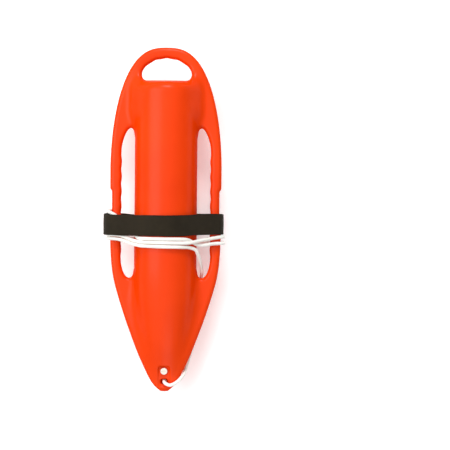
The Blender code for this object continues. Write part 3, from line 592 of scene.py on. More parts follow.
def outer_outline():
    """The can seen from above: a round rear, strap recesses at the sides and a tapered nose."""
    angle = 0.5 * pi * (1.0 - np.arange(70) / 70)
    rise = np.sin(angle)
    top = np.stack([HALF_WIDTH * (1.0 - rise ** 2) ** 0.375, WIDEST_Y + (HALF_LENGTH - WIDEST_Y) * rise], axis=1)
    y = np.linspace(WIDEST_Y, -0.029, 110)
    enter = np.clip((RECESS_REAR_Y + RECESS_DEPTH - y) / (2 * RECESS_DEPTH), 0.0, 1.0)
    leave = np.clip((y - RECESS_FRONT_Y + RECESS_DEPTH) / (2 * RECESS_DEPTH), 0.0, 1.0)
    depth = RECESS_DEPTH * (0.5 - 0.5 * np.cos(pi * enter)) * (0.5 - 0.5 * np.cos(pi * leave))
    side = np.stack([HALF_WIDTH - 0.0004 * (WIDEST_Y - y) / 0.136 - depth, y], axis=1)
    right = [top, side,
             bezier((0.1213, -0.030), (0.1205, -0.080), (0.1180, -0.118), (0.1085, -0.150), 24),
             bezier((0.1085, -0.150), (0.0970, -0.192), (0.0735, -0.262), (0.0488, -0.314), 30),
             bezier((0.0488, -0.314), (0.0370, -0.340), (0.0255, -HALF_LENGTH), (0.0, -HALF_LENGTH), 30),
             np.array([[0.0, -HALF_LENGTH]])]
    right = np.concatenate(right)
    left = right[1:-1][::-1] * (-1.0, 1.0)
    return np.concatenate([right, left])


def side_slot():
    """The right slot, pointed at both ends, with finger waves on the handle's side; it starts inside the torso."""
    y = np.linspace(0.140, 0.140 - 7 * FINGER_PITCH, 170)
    waves = np.stack([SLOT_OUTER - 0.5 * FINGER_DEPTH * (1.0 - np.cos(tau * (0.140 - y) / FINGER_PITCH)), y], axis=1)
    return np.concatenate([
        np.array([(SLOT_INNER, SLOT_FRONT_Y + 0.014), (SLOT_INNER, SLOT_REAR_Y - 0.014)]),
        bezier((0.0640, SLOT_REAR_Y - 0.014), (0.0670, SLOT_REAR_Y - 0.004), (0.0715, SLOT_REAR_Y),
               (0.0770, SLOT_REAR_Y), 16),
        bezier((0.0770, SLOT_REAR_Y), (0.0850, SLOT_REAR_Y), (0.0975, 0.172), (0.0980, 0.148), 20),
        waves,
        bezier((0.0975, -0.092), (0.0965, -0.108), (0.0900, SLOT_FRONT_Y), (0.0790, SLOT_FRONT_Y), 18),
        bezier((0.0790, SLOT_FRONT_Y), (0.0725, SLOT_FRONT_Y), (0.0670, SLOT_FRONT_Y + 0.004),
               (0.0640, SLOT_FRONT_Y + 0.014), 16),
    ])


def rear_hole():
    """A half-moon hand hole with a flat floor and an arched top that carries shallow finger facets."""
    half = np.concatenate([
        bezier((0.0, REAR_HOLE_FLOOR_Y), (0.020, REAR_HOLE_FLOOR_Y), (0.030, REAR_HOLE_FLOOR_Y),
               (0.042, REAR_HOLE_FLOOR_Y), 20),
        bezier((0.042, REAR_HOLE_FLOOR_Y), (0.0500, REAR_HOLE_FLOOR_Y), (REAR_HOLE_HALF_WIDTH, 0.308),
               (REAR_HOLE_HALF_WIDTH, 0.317), 16),
        bezier((REAR_HOLE_HALF_WIDTH, 0.317), (REAR_HOLE_HALF_WIDTH, 0.330), (0.034, REAR_HOLE_TOP_Y),
               (0.0, REAR_HOLE_TOP_Y), 40),
        np.array([[0.0, REAR_HOLE_TOP_Y]]),
    ])
    waves = 0.0006 * (1.0 - np.cos(tau * half[:, 0] / 0.024))
    half[:, 1] -= np.where(half[:, 1] > 0.325, waves, 0.0)
    return np.concatenate([half, half[1:-1][::-1] * (-1.0, 1.0)])


def polygon_distance(points, loop):
    """Signed distance from each point to a closed outline, negative inside."""
    nearest = np.full(len(points), np.inf)
    inside = np.zeros(len(points), dtype=bool)
    for a, b in zip(loop, np.roll(loop, -1, axis=0)):
        edge = b - a
        off = points - a
        share = np.clip((off @ edge) / max(edge @ edge, 1e-18), 0.0, 1.0)
        gap = off - share[:, None] * edge
        nearest = np.minimum(nearest, (gap ** 2).sum(axis=1))
        if a[1] != b[1]:
            spans = (a[1] > points[:, 1]) != (b[1] > points[:, 1])
            cross_x = a[0] + (points[:, 1] - a[1]) * edge[0] / edge[1]
            inside ^= spans & (points[:, 0] < cross_x)
    return np.where(inside, -1.0, 1.0) * np.sqrt(nearest)


class PlanTable:
    """An outline's signed distance less some holes', sampled over its right half and read back smoothly."""

    STEP = 0.00085

    def __init__(self, outline, *holes):
        self.x = np.arange(0.0, HALF_WIDTH + 0.014, self.STEP)
        self.y = np.arange(-HALF_LENGTH - 0.012, HALF_LENGTH + 0.012, self.STEP)
        grid = np.stack(np.meshgrid(self.x, self.y, indexing="ij"), axis=-1).reshape(-1, 2)
        distance = polygon_distance(grid, outline)
        for hole in holes:
            distance = np.maximum(distance, -polygon_distance(grid, hole))
        self.table = distance.reshape(len(self.x), len(self.y))

    def at(self, x, y):
        i = np.clip(np.abs(x) / self.STEP, 0, len(self.x) - 1.001)
        j = np.clip((y - self.y[0]) / self.STEP, 0, len(self.y) - 1.001)
        i0 = i.astype(int)
        j0 = j.astype(int)
        fi = i - i0
        fj = j - j0
        t = self.table
        return ((t[i0, j0] * (1 - fi) + t[i0 + 1, j0] * fi) * (1 - fj)
                + (t[i0, j0 + 1] * (1 - fi) + t[i0 + 1, j0 + 1] * fi) * fj)


BOARD = PlanTable(outer_outline(), side_slot())
REAR_HOLE = PlanTable(rear_hole())


def smooth_union(a, b, reach):
    """The nearer of two distances, with a fillet where they are alike."""
    blend = np.maximum(reach - np.abs(a - b), 0.0) / reach
    return np.minimum(a, b) - blend ** 2 * reach * 0.25


def smooth_cut(a, tool, reach):
    return -smooth_union(-a, tool, reach)


def rounded_corner(a, b, corner):
    """Distance past two walls that meet in a rounded corner, from the distances past their inset copies."""
    return np.hypot(np.maximum(a, 0), np.maximum(b, 0)) + np.minimum(np.maximum(a, b), 0) - corner


def box_distance(x, y, half_x, half_y, corner):
    return rounded_corner(np.abs(x) - half_x + corner, np.abs(y) - half_y + corner, corner)


def eased(share):
    """From nothing to one, with a soft start and end."""
    share = np.clip(share, 0.0, 1.0)
    return share * share * (3.0 - 2.0 * share)


def front_side(z):
    """One on the can's front, easing to nothing behind its middle plane."""
    return eased((z + 0.006) / 0.012)


def fillet_reach(x, y, z):
    """The breadth of the flow from torso to board, narrow where the line runs behind the nose."""
    nose = eased((NOSE_FLOW_REAR_Y - y) / 0.062) * eased((y - NOSE_FLOW_TIP_Y) / 0.070) * front_side(z)
    shoulder = (eased((y - SHOULDER_FLOW_Y) / 0.050)
                * eased((SHOULDER_FLOW_HALF_WIDTH - np.abs(x)) / 0.056))
    return SLOT_FILLET + (SHOULDER_FILLET - SLOT_FILLET) * shoulder + (NOSE_FILLET - SLOT_FILLET) * nose


def torso_distance(x, y, z):
    """The round body: a square-cornered shoulder at the rear, a straight middle and a tapered nose."""
    s = np.clip((TAPER_Y - y) / TAPER_LENGTH, 0.0, 0.992)
    width = TORSO_HALF_WIDTH * (1.0 - s ** 2) ** 0.7
    depth = TORSO_HALF_DEPTH * (1.0 - s ** 1.6) ** 0.85
    slope = TORSO_HALF_DEPTH * 0.85 * 1.6 * s ** 0.6 * (1.0 - s ** 1.6) ** -0.15 / TAPER_LENGTH
    out = np.sqrt((x / width) ** 2 + (z / depth) ** 2)
    out_slope = np.sqrt((x / width ** 2) ** 2 + (z / depth ** 2) ** 2) / np.maximum(out, 1e-9)
    past = np.maximum(y - SHOULDER_Y, 0.0) / SHOULDER_LENGTH
    level = np.maximum(out ** SHOULDER_POWER + past ** SHOULDER_POWER, 1e-12) ** (1.0 / SHOULDER_POWER)
    rise = level ** (1.0 - SHOULDER_POWER) * np.hypot(out ** (SHOULDER_POWER - 1.0) * out_slope,
                                                      past ** (SHOULDER_POWER - 1.0) / SHOULDER_LENGTH)
    round_body = (level - 1.0) / np.maximum(rise, 1e-6) / np.sqrt(1.0 + slope ** 2)
    end = TAPER_Y - TAPER_LENGTH * 0.992
    return np.maximum(round_body, end - y)


def shell_distance(points):
    """About how far each point is outside the moulding, with its middle plane at z = 0."""
    x, y, z = points[..., 0], points[..., 1], points[..., 2]
    board = rounded_corner(BOARD.at(x, y) + BOARD_ROUND, np.abs(z) - BOARD_HALF_DEPTH + BOARD_ROUND, BOARD_ROUND)
    body = smooth_union(board, torso_distance(x, y, z), fillet_reach(x, y, z))
    body = smooth_cut(body, REAR_HOLE.at(x, y), HOLE_ROUND)
    floor = (POCKET_REAR_Z - (POCKET_REAR_Y - y) * np.tan(POCKET_SLOPE) - np.abs(z)) * cos(POCKET_SLOPE)
    middle_y = 0.5 * (POCKET_REAR_Y + POCKET_FRONT_Y)
    half_y = 0.5 * (POCKET_REAR_Y - POCKET_FRONT_Y)
    pocket = np.maximum(floor, box_distance(x, y - middle_y, POCKET_HALF_WIDTH, half_y, POCKET_CORNER))
    body = smooth_cut(body, pocket, POCKET_ROUND)
    flare = TOW_HOLE_FLARE * front_side(z)
    hole = box_distance(x, y - TOW_HOLE_Y, TOW_HOLE_HALF_WIDTH + flare, TOW_HOLE_HALF_LENGTH + 0.4 * flare,
                        TOW_HOLE_CORNER)
    body = smooth_cut(body, hole, TOW_HOLE_ROUND)
    axis = np.array([0.0, -sin(POCKET_SLOPE), cos(POCKET_SLOPE)])
    off = points - VENT_SEAT
    rise = off @ axis
    radius = np.sqrt(np.maximum((off ** 2).sum(axis=-1) - rise ** 2, 0.0))
    bore = np.maximum(radius - VENT_BORE_RADIUS, -rise - VENT_BORE_DEPTH)
    return np.maximum(body, -bore)


def shell_gradient(points):
    made = np.empty_like(points)
    for k in range(3):
        shift = np.zeros(3)
        shift[k] = GRADIENT_STEP
        made[:, k] = shell_distance(points + shift) - shell_distance(points - shift)
    return made / (2 * GRADIENT_STEP)


def settle(points, rounds):
    """Move points onto the shell's surface along its slope."""
    for _ in range(rounds):
        slope = shell_gradient(points)
        size = np.maximum((slope ** 2).sum(axis=1), 0.05)
        step = slope * (shell_distance(points) / size)[:, None]
        reach = np.linalg.norm(step, axis=1, keepdims=True)
        points = points - step * np.minimum(1.0, 0.5 * SHELL_GRID / np.maximum(reach, 1e-12))
    return points


def surface_net():
    """Quads round the zero level of the shell's distance on a regular grid."""
    axes = [np.arange(-half - 2.5 * SHELL_GRID, half + 3.5 * SHELL_GRID, SHELL_GRID)
            for half in (HALF_WIDTH, HALF_LENGTH, TORSO_HALF_DEPTH)]
    inside = np.empty([len(a) for a in axes], dtype=bool)
    for i, x in enumerate(axes[0]):
        sheet = np.stack(np.broadcast_arrays(x, axes[1][:, None], axes[2][None, :]), axis=-1)
        inside[i] = shell_distance(sheet) < 0.0
    cells = [n - 1 for n in inside.shape]
    count = np.zeros(cells, dtype=np.int8)
    for i, j, k in product((0, 1), repeat=3):
        count += inside[i:i + cells[0], j:j + cells[1], k:k + cells[2]]
    mixed = (count > 0) & (count < 8)
    number = np.full(cells, -1, dtype=np.int64)
    number[mixed] = np.arange(mixed.sum())
    places = np.argwhere(mixed)
    points = np.stack([axes[k][places[:, k]] + 0.5 * SHELL_GRID for k in range(3)], axis=1)
    faces = []
    for k in range(3):
        low = [slice(1, -1)] * 3
        high = [slice(1, -1)] * 3
        low[k] = slice(0, -1)
        high[k] = slice(1, None)
        crossing = inside[tuple(low)] != inside[tuple(high)]
        where = np.argwhere(crossing)
        base = where + 1
        base[:, k] -= 1
        outward = inside[tuple(low)][crossing]
        u, v = (k + 1) % 3, (k + 2) % 3
        corners = []
        for du, dv in ((0, 0), (-1, 0), (-1, -1), (0, -1)):
            spot = base.copy()
            spot[:, u] += du
            spot[:, v] += dv
            corners.append(number[spot[:, 0], spot[:, 1], spot[:, 2]])
        quads = np.stack(corners, axis=1)
        quads[~outward] = quads[~outward][:, ::-1]
        faces.append(quads)
    return points, np.concatenate(faces)


def relaxed(points, faces, rounds):
    """Even the quads out by neighbour averages, back on the surface after each."""
    edges = np.concatenate([faces[:, [0, 1]], faces[:, [1, 2]], faces[:, [2, 3]], faces[:, [3, 0]]])
    for _ in range(rounds):
        total = np.zeros_like(points)
        weight = np.zeros(len(points))
        for a, b in ((0, 1), (1, 0)):
            np.add.at(total, edges[:, a], points[edges[:, b]])
            np.add.at(weight, edges[:, a], 1.0)
        points = settle(0.5 * points + 0.5 * total / weight[:, None], 2)
    return points


def float_shell():
    points, faces = surface_net()
    points = settle(points, 5)
    points = relaxed(points, faces, 4)
    points[:, 2] += MID_Z
    settle_piece(mesh_object("moulded_float", points, faces), ORANGE, "can", "float_shell")


float_shell()


# ---------------------------------------------------------------- shoulder strap
STRAP_STOPS = (-0.0156, -0.0140, -0.0115, -0.0101, -0.0156)
LAYER_THICKNESS = 0.0021
LAYER_GAP = 0.0003
PATCH_THICKNESS = 0.0052
PATCH_HALF_ANGLE = radians(21.0)
PLY_END = 0.0022              # over which a ply thins towards its end
FIRST_PLY_LOWEST = 0.0026     # the floor presses the plies flat at these heights
SEAM_LOWEST = 0.0004
SEAM_INSET = 0.004
SEAM_HALF_WIDTH = 0.5 * STRAP_WIDTH - 0.0055
STRAP_SLIP = 0.0036           # how far the outer layer has slid sideways at the left handle


def strip(name, centre, normal, half_width, thickness, closed, along=None):
    """A flat webbing strip with round selvedges, its width along Y; centre and normal lie row by row."""
    half = 0.5 * thickness
    flat = np.linspace(-half_width + half, half_width - half, 15)
    turn = np.linspace(0.5 * pi, -0.5 * pi, 6)[1:-1]
    across = np.concatenate([flat, half_width - half + half * np.cos(turn),
                             flat[::-1], -half_width + half - half * np.cos(turn)])
    crown = 0.12 * half * np.cos(pi * flat / half_width)
    lift = np.concatenate([half * 0.9 + crown, half * np.sin(turn), -half * 0.9 - crown, -half * np.sin(turn)])
    columns = len(across)
    rows = len(centre)
    points = (centre[:, None, :] + across[None, :, None] * LENGTHWISE
              + lift[None, :, None] * normal[:, None, :])
    faces = list(grid_faces(rows, columns, close_rows=closed))
    if not closed:
        faces.append(np.arange(columns)[::-1])
        faces.append(np.arange((rows - 1) * columns, rows * columns))
    made = mesh_object(name, points.reshape(-1, 3), faces)
    if along is None:
        along = travel_along(centre)
    gap = np.hypot(np.diff(np.append(across, across[0])), np.diff(np.append(lift, lift[0])))
    around = np.concatenate([[0.0], np.cumsum(gap)])
    if closed:
        along = np.append(along, along[-1] + (along[-1] - along[-2]))
    sheet_uv(made, rows, columns, along, around)
    return made


def strap_middle(turn):
    """Y of the strap's middle by quarter turns from the front: 1 is the left handle, 2 the back."""
    index = np.minimum(turn.astype(int), 3)
    blend = 0.5 - 0.5 * np.cos(pi * (turn - index))
    stops = np.array(STRAP_STOPS)
    return stops[index] * (1.0 - blend) + stops[index + 1] * blend


def strap_rows(turns, lift, y_shift):
    """Centre points and outward normals of the strap at a lift over its inner face."""
    middle = strap_middle(turns)
    left, right = STRAP_WRAP.quarters
    travel = np.where(turns < 2.0, turns * left, STRAP_WRAP.length - (4.0 - turns) * right)
    lift = np.broadcast_to(lift, turns.shape)
    y_shift = np.broadcast_to(y_shift, turns.shape)
    centre = np.array([STRAP_WRAP.place(t, m + s, h) for t, m, s, h in zip(travel, middle, y_shift, lift)])
    above = np.array([STRAP_WRAP.place(t, m + s, h + 0.001) for t, m, s, h in zip(travel, middle, y_shift, lift)])
    return centre, normalised(above - centre), travel


def shoulder_strap():
    rows = 700
    turns = np.arange(rows) * 4.0 / rows
    inner, normal, travel = strap_rows(turns, 0.5 * LAYER_THICKNESS, 0.0004 * np.sin(2.5 * pi * turns))
    first = strip("strap_inner_layer", inner, normal, 0.5 * STRAP_WIDTH, LAYER_THICKNESS, True, travel)
    sway = 0.0007 * np.sin(pi * turns + 0.6) - 0.0006 * np.sin(1.5 * pi * turns)
    slipped = STRAP_SLIP * eased((turns - 0.92) / 0.18) * (1.0 - eased((turns - 1.32) / 0.28))
    lift = 1.5 * LAYER_THICKNESS + LAYER_GAP + 0.00012 * (1.0 + np.sin(6.5 * pi * turns))
    outer, normal, travel = strap_rows(turns, lift, sway + slipped)
    second = strip("strap_outer_layer", outer, normal, 0.5 * STRAP_WIDTH - 0.0002, LAYER_THICKNESS, True, travel)
    settle_piece(first, WEBBING, "can")
    settle_piece(second, WEBBING, "can", "shoulder_strap")


def stitches(name, paths, radius, length, pitch, floor=None):
    """Rows of raised thread stitches along lists of points."""
    points = []
    faces = []
    profile = [(-0.5, 0.25), (-0.38, 0.8), (-0.15, 1.0), (0.15, 1.0), (0.38, 0.8), (0.5, 0.25)]
    sides = 6
    for path, normal in paths:
        travel = travel_along(path)
        for start in np.arange(0.5 * pitch, travel[-1] - 0.4 * pitch, pitch):
            middle = np.array([np.interp(start, travel, path[:, k]) for k in range(3)])
            ahead = np.array([np.interp(start + 0.0008, travel, path[:, k]) for k in range(3)])
            up = normalised(np.array([np.interp(start, travel, normal[:, k]) for k in range(3)]))
            tangent = normalised(ahead - middle)
            side = np.cross(tangent, up)
            base = len(points)
            for share, size in profile:
                centre = middle + tangent * share * length + up * radius * 0.35 * (1.0 - 4.0 * share * share)
                for j in range(sides):
                    a = tau * j / sides
                    points.append(centre + radius * size * (cos(a) * side + sin(a) * up))
            for row in range(len(profile) - 1):
                for j in range(sides):
                    a = base + row * sides
                    k = (j + 1) % sides
                    faces.append((a + j, a + k, a + sides + k, a + sides + j))
            faces.append(tuple(base + j for j in range(sides))[::-1])
            faces.append(tuple(base + (len(profile) - 1) * sides + j for j in range(sides)))
    points = np.array(points)
    if floor is not None:
        points[:, 2] = np.maximum(points[:, 2], floor)
    settle_piece(mesh_object(name, points, faces), THREAD, "can")


def back_turns(marks):
    """The strap's turns at signed distances from the middle of the back."""
    left, right = STRAP_WRAP.quarters
    return 2.0 + np.where(marks < 0.0, marks / left, marks / right)


def strap_joint():
    """The sewn overlap: two plies pressed flat on the floor, with a box-and-cross seam."""
    reach = STRAP_WRAP.torso * PATCH_HALF_ANGLE
    marks = np.linspace(-reach, reach, 90)
    base = STRAP_THICKNESS + GAP
    ends = 1.0 - np.minimum(1.0, (reach - np.abs(marks)) / PLY_END)
    ply = 0.5 * PATCH_THICKNESS
    for name, share, lowest, node in (("strap_joint_first_ply", 0.0, FIRST_PLY_LOWEST, None),
                                      ("strap_joint_second_ply", 1.0, SEAM_LOWEST, "strap_joint")):
        lift = base + 0.25 * PATCH_THICKNESS + share * ply - 0.0003 * ends ** 2
        turns = back_turns(marks * (1.0 - 0.03 * share))
        centre, normal, travel = strap_rows(turns, lift, 0.0003 * share)
        made = strip(name, centre, normal, 0.5 * STRAP_WIDTH - 0.0008, ply - 0.0001, False, travel)
        co = np.empty(len(made.data.vertices) * 3, dtype=np.float32)
        made.data.vertices.foreach_get("co", co)
        co = co.reshape(-1, 3)
        co[:, 2] = np.maximum(co[:, 2], lowest)
        made.data.vertices.foreach_set("co", co.ravel())
        made.data.update()
        settle_piece(made, WEBBING, "can", node)

    def on_patch(shares):
        turns = back_turns(shares[:, 0] * (reach - SEAM_INSET))
        centre, normal, _ = strap_rows(turns, base + PATCH_THICKNESS, shares[:, 1] * SEAM_HALF_WIDTH)
        centre[:, 2] = np.maximum(centre[:, 2], SEAM_LOWEST)
        return centre, normal

    box = [(-1, -1), (1, -1), (1, 1), (-1, 1), (-1, -1), (1, 1)]
    lines = [(a, b) for a, b in zip(box, box[1:])] + [((-1, 1), (1, -1))]
    paths = []
    for a, b in lines:
        share = np.linspace(0.0, 1.0, 50)[:, None]
        paths.append(on_patch((1.0 - share) * np.array(a) + share * np.array(b)))
    stitches("strap_joint_seam", paths, 0.00045, 0.0032, 0.0040, floor=0.0002)


shoulder_strap()
strap_joint()


# ---------------------------------------------------------------- ring, its keeper and the hitch
WIRE_SIDES = 20
WIRE_PITCH = 0.0006


def in_ring(out, away, sideways):
    """A point in the ring's own frame: out from its bar, away from the strap and along the bar."""
    return BAR + OUT * out + AWAY * away + LENGTHWISE * sideways


def closed_route(points, spacing):
    """An even smooth loop through a closed list of points."""
    points = list(points)
    wrapped = smooth_route(points[-3:] + points + points[:4], spacing)
    start = np.argmin(np.linalg.norm(wrapped - points[0], axis=1)[:len(wrapped) // 2])
    gaps = np.linalg.norm(wrapped[start + 20:] - wrapped[start], axis=1)
    return wrapped[start:start + 20 + int(np.argmin(gaps))]


def wire_loop(name, path, radii):
    """A closed wire along a flat loop of points."""
    tangent = normalised(np.roll(path, -1, axis=0) - np.roll(path, 1, axis=0))
    plane = normalised(np.cross(path[1] - path[0], path[len(path) // 3] - path[0]))
    side = normalised(np.cross(tangent, plane))
    angle = np.arange(WIRE_SIDES) * tau / WIRE_SIDES
    points = path[:, None, :] + radii[:, None, None] * (np.cos(angle)[None, :, None] * side[:, None, :]
                                                        + np.sin(angle)[None, :, None] * plane[None, None, :])
    return mesh_object(name, points.reshape(-1, 3), grid_faces(len(path), WIRE_SIDES, close_rows=True))


def strap_ring():
    bar = [(0.0, v) for v in np.linspace(-0.75, 0.75, 7) * RING_HALF_WIDTH]
    bow = [(0.004 + (RING_REACH - 0.004) * sin(pi * i / 16), RING_HALF_WIDTH * cos(pi * i / 16)) for i in range(17)]
    path = closed_route([in_ring(u, 0.0, v) for u, v in bar + bow], WIRE_PITCH)
    travel = np.arange(len(path)) * WIRE_PITCH
    weld = in_ring(0.012, 0.0, -RING_HALF_WIDTH * 0.93)
    near = np.linalg.norm(path - weld, axis=1)
    radii = RING_WIRE_RADIUS * (1.0 + 0.10 * np.exp(-(near / 0.0013) ** 2) + 0.006 * np.sin(travel * 900.0))
    made = wire_loop("welded_d_ring", path, radii)
    settle_piece(made, STEEL, "ring", "strap_ring")


def ring_keeper():
    """A webbing tab folded round the ring's bar and sewn down on the strap."""
    floor = -RING_LIFT + GAP
    loop = [(-0.0112, floor + 0.0030), (-0.0085, floor + 0.0040), (-0.0045, 0.0022)]
    loop += [(0.0040 * sin(a), 0.0040 * cos(a)) for a in np.linspace(radians(-18), radians(196), 9)]
    loop += [(-0.0045, floor + 0.0012), (-0.0085, floor + 0.0010), (-0.0112, floor + 0.0010)]
    path = smooth_route([BAR + ALONG_STRAP * u + OFF_STRAP * w for u, w in loop], 0.0005)
    tangent = normalised(np.gradient(path, axis=0))
    normal = np.cross(LENGTHWISE, tangent)
    made = strip("folded_ring_keeper", path, normal, 0.0150, 0.0018, False)
    settle_piece(made, WEBBING, "can", "ring_keeper")
    rows = []
    for u, w in ((-0.0060, floor + 0.0058), (-0.0098, floor + 0.0046)):
        line = np.array([BAR + ALONG_STRAP * u + OFF_STRAP * w + LENGTHWISE * v
                         for v in np.linspace(-0.0125, 0.0125, 30)])
        rows.append((line, np.broadcast_to(OFF_STRAP, line.shape)))
    stitches("keeper_seam", rows, 0.0004, 0.0026, 0.0033)


KNOTTED_RADIUS = 0.0033       # the line pulled thinner in its knots
KNOTTED_PITCH = 0.0008
KNOTTED_SIDES = 24
HITCH_EYE = 0.0064
HITCH_COIL = 0.0051


def line_hitch():
    """A round turn over the ring's bow, then half hitches round the line with a short tail."""
    path = [in_ring(0.0525, 0.0, 0.0), in_ring(0.0470, 0.0, 0.0), in_ring(0.0410, 0.0005, -0.0005),
            in_ring(0.0350, 0.0030, -0.0020)]
    for a in np.linspace(radians(40), radians(325), 12):
        drift = -0.0032 + 0.0064 * (a - radians(40)) / radians(285)
        path.append(in_ring(RING_REACH + HITCH_EYE * cos(a), HITCH_EYE * sin(a), drift))
    path.append(in_ring(0.0345, -0.0038, 0.0034))
    for i in range(27):
        a = radians(-60) + tau * i / 12
        path.append(in_ring(0.0362 + 0.0046 * i / 12, HITCH_COIL * sin(a), HITCH_COIL * cos(a)))
    path += [in_ring(0.0440, -0.0050, 0.0090), in_ring(0.0425, -0.0056, 0.0150), in_ring(0.0405, -0.0060, 0.0190)]
    made = braided_tube("hitched_line_end", smooth_route(path, KNOTTED_PITCH), KNOTTED_RADIUS,
                        KNOTTED_SIDES)
    settle_piece(made, CORD, "ring", "line_hitch")
    return made


def stopper_knot():
    """An overhand knot pulled tight behind the nose, with its cut end."""
    centre = np.array([0.0, TOW_HOLE_Y, MID_Z + KNOT_TOP - 0.0084])
    scale = 0.0066 / 3.0
    path = [centre + (0.0, 0.0, 0.0084), centre + (0.0006, 0.0004, 0.0060)]
    for t in np.linspace(0.55, tau + 0.15, 40):
        path.append(centre + (scale * (sin(t) + 2 * sin(2 * t)), scale * (cos(t) - 2 * cos(2 * t)),
                              -0.0042 * sin(3 * t)))
    path += [centre + (0.0016, 0.0040, -0.0085), centre + (0.0020, 0.0062, -0.0125)]
    made = braided_tube("overhand_stopper_knot", smooth_route(path, KNOTTED_PITCH), KNOTTED_RADIUS,
                        KNOTTED_SIDES)
    settle_piece(made, CORD, "can", "stopper_knot")
    return made


strap_ring()
ring_keeper()
hitch = line_hitch()
stopper = stopper_knot()


# ---------------------------------------------------------------- vent
PLUG_SHANK_RADIUS = 0.0040
PLUG_SHANK_LENGTH = 0.0095
PLUG_HEAD_RADIUS = 0.0075
PLUG_HEAD_HEIGHT = 0.0032
PLUG_HEAD_ROUND = 0.0012
PLUG_SIDES = 72
DRIVER_SLOT = (0.0100, 0.0018, 0.0030)
SEAL_HEIGHT = 0.0016
THREAD_PITCH = 0.0020
THREAD_DEPTH = 0.00045


def object_from(name, made):
    """An object in the scene that holds a bmesh's faces."""
    mesh = bpy.data.meshes.new(name)
    made.to_mesh(mesh)
    made.free()
    held = bpy.data.objects.new(name, mesh)
    bpy.context.scene.collection.objects.link(held)
    return held


def vent_plug():
    """A coin-slotted screw plug with a round-edged head and a coarse thread."""
    under = SEAL_HEIGHT + GAP
    top = under + PLUG_HEAD_HEIGHT
    profile = [(0.0, under - PLUG_SHANK_LENGTH), (0.0030, under - PLUG_SHANK_LENGTH)]
    profile += [(PLUG_SHANK_RADIUS, h) for h in np.arange(under - PLUG_SHANK_LENGTH + 0.0004, under, 0.00025)]
    profile += [(0.0041, under), (PLUG_HEAD_RADIUS - 0.0004, under), (PLUG_HEAD_RADIUS, under + 0.0004)]
    bend = PLUG_HEAD_ROUND
    profile += [(PLUG_HEAD_RADIUS - bend + bend * cos(a), top - bend - 0.0001 + bend * sin(a))
                for a in np.linspace(0.0, 0.5 * pi, 8)]
    profile += [(0.0045, top), (0.0, top)]
    made = bmesh.new()
    rings = []
    for radius, height in profile:
        ring = []
        for i in range(PLUG_SIDES):
            angle = tau * i / PLUG_SIDES
            turn = (height / THREAD_PITCH - i / PLUG_SIDES) % 1.0
            cut = THREAD_DEPTH * abs(2.0 * turn - 1.0) if radius == PLUG_SHANK_RADIUS else 0.0
            ring.append(((radius - cut) * cos(angle), (radius - cut) * sin(angle), height))
        rings.append([made.verts.new(p) for p in ring])
    for low, high in zip(rings, rings[1:]):
        for i in range(PLUG_SIDES):
            j = (i + 1) % PLUG_SIDES
            made.faces.new((low[i], low[j], high[j], high[i]))
    bmesh.ops.remove_doubles(made, verts=made.verts, dist=1e-6)
    bmesh.ops.recalc_face_normals(made, faces=made.faces)
    plug = object_from("slotted_vent_plug", made)
    cut = bmesh.new()
    bmesh.ops.create_cube(cut, size=1.0)
    long, wide, deep = DRIVER_SLOT
    for vertex in cut.verts:
        vertex.co = Vector((vertex.co.x * long, vertex.co.y * wide, vertex.co.z * deep + top))
    slot_tool = object_from("driver_slot", cut)
    step = plug.modifiers.new("slot", "BOOLEAN")
    step.object = slot_tool
    step.operation = "DIFFERENCE"
    edge = plug.modifiers.new("edge", "BEVEL")
    edge.width = 0.00018
    edge.segments = 2
    edge.limit_method = "ANGLE"
    edge.angle_limit = radians(50)
    bpy.context.view_layer.update()
    final = bpy.data.meshes.new_from_object(plug.evaluated_get(bpy.context.evaluated_depsgraph_get()))
    plug.modifiers.clear()
    plug.data = final
    bpy.data.objects.remove(slot_tool)
    final.shade_smooth()
    final.set_sharp_from_angle(angle=radians(40))
    plug.location = tuple(VENT_SEAT + (0.0, 0.0, MID_Z))
    plug.rotation_euler = (POCKET_SLOPE, 0.0, 0.0)
    settle_piece(plug, PLUG_WHITE, "plug", "vent_plug")


vent_plug()
for node, finish in (("vent_bush", BRASS), ("plug_seal", RUBBER)):
    paint_piece(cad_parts[node], finish)


# ---------------------------------------------------------------- floor and light
FLOOR_REACH = 6.0
FLOOR_Z = -0.0002
FLOOR_GLOW = 0.26
SKY_OVERHEAD = 1.25           # the sky's strength by height, times its strength from side to side
SKY_HORIZON = 0.06
SKY_LEFT = 1.20
SKY_RIGHT = 0.40
BACKDROP = 1.0                # what the camera sees past the floor's far edge
SOFTBOXES = (                 # name, place, width, power
    ("key_softbox", (0.2, 3.2, 2.5), 1.1, 80.0),
    ("left_softbox", (-2.4, 0.7, 3.0), 2.8, 62.0),
    ("nose_softbox", (0.7, -2.6, 2.2), 2.0, 16.0),
)


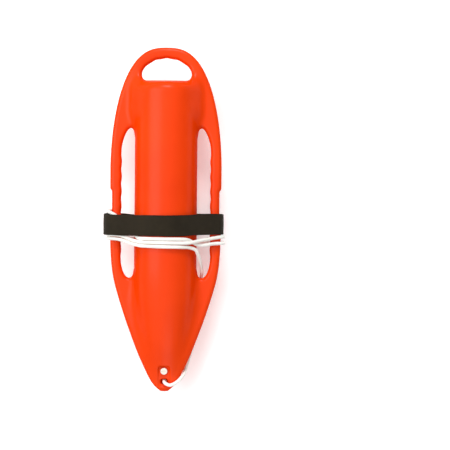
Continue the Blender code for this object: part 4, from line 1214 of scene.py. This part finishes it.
def studio():
    corners = [(FLOOR_REACH * x, FLOOR_REACH * y, FLOOR_Z) for x, y in ((-1, -1), (1, -1), (1, 1), (-1, 1))]
    floor = mesh_object("floor", corners, np.array([(0, 1, 2, 3)]), smooth=False)
    paint = Paint("floor_white")
    grain = paint.noise(paint.coordinates(), 3.0, 2.0)
    paint.colour(paint.ramp(grain, ((0.3, (0.92, 0.92, 0.92)), (0.7, (0.94, 0.94, 0.94)))))
    paint.set(Roughness=0.9, Specular_IOR_Level=0.1, Emission_Strength=FLOOR_GLOW)
    paint.shader.inputs["Emission Color"].default_value = (1.0, 1.0, 1.0, 1.0)
    paint_piece(floor, paint.material)

    world = bpy.data.worlds.new("studio")
    world.use_nodes = True
    tree = world.node_tree
    background = tree.nodes["Background"].inputs
    background["Color"].default_value = (1.0, 1.0, 1.0, 1.0)
    place = tree.nodes.new("ShaderNodeTexCoord")
    height = tree.nodes.new("ShaderNodeSeparateXYZ")
    sky = tree.nodes.new("ShaderNodeMapRange")
    sky.inputs["To Min"].default_value = SKY_HORIZON
    sky.inputs["To Max"].default_value = SKY_OVERHEAD
    tree.links.new(place.outputs["Generated"], height.inputs["Vector"])
    tree.links.new(height.outputs["Z"], sky.inputs["Value"])
    across = tree.nodes.new("ShaderNodeMapRange")
    across.inputs["From Min"].default_value = -1.0
    across.inputs["To Min"].default_value = SKY_LEFT
    across.inputs["To Max"].default_value = SKY_RIGHT
    strength = tree.nodes.new("ShaderNodeMath")
    strength.operation = "MULTIPLY"
    tree.links.new(height.outputs["X"], across.inputs["Value"])
    tree.links.new(sky.outputs["Result"], strength.inputs[0])
    tree.links.new(across.outputs["Result"], strength.inputs[1])
    seen = tree.nodes.new("ShaderNodeLightPath")
    shown = tree.nodes.new("ShaderNodeMix")
    shown.data_type = "FLOAT"
    tree.links.new(seen.outputs["Is Camera Ray"], shown.inputs["Factor"])
    tree.links.new(strength.outputs["Value"], shown.inputs["A"])
    shown.inputs["B"].default_value = BACKDROP
    tree.links.new(shown.outputs["Result"], background["Strength"])
    bpy.context.scene.world = world

    for name, place, width, power in SOFTBOXES:
        data = bpy.data.lights.new(name, "AREA")
        data.shape = "SQUARE"
        data.size = width
        data.energy = power
        lamp = bpy.data.objects.new(name, data)
        lamp.location = place
        lamp.rotation_euler = (Vector(place) - Vector((0.0, 0.0, MID_Z))).to_track_quat("Z", "Y").to_euler()
        lamp.visible_camera = False
        bpy.context.scene.collection.objects.link(lamp)

    bpy.context.scene.view_settings.view_transform = "Standard"
    bpy.context.scene.view_settings.look = "None"


studio()
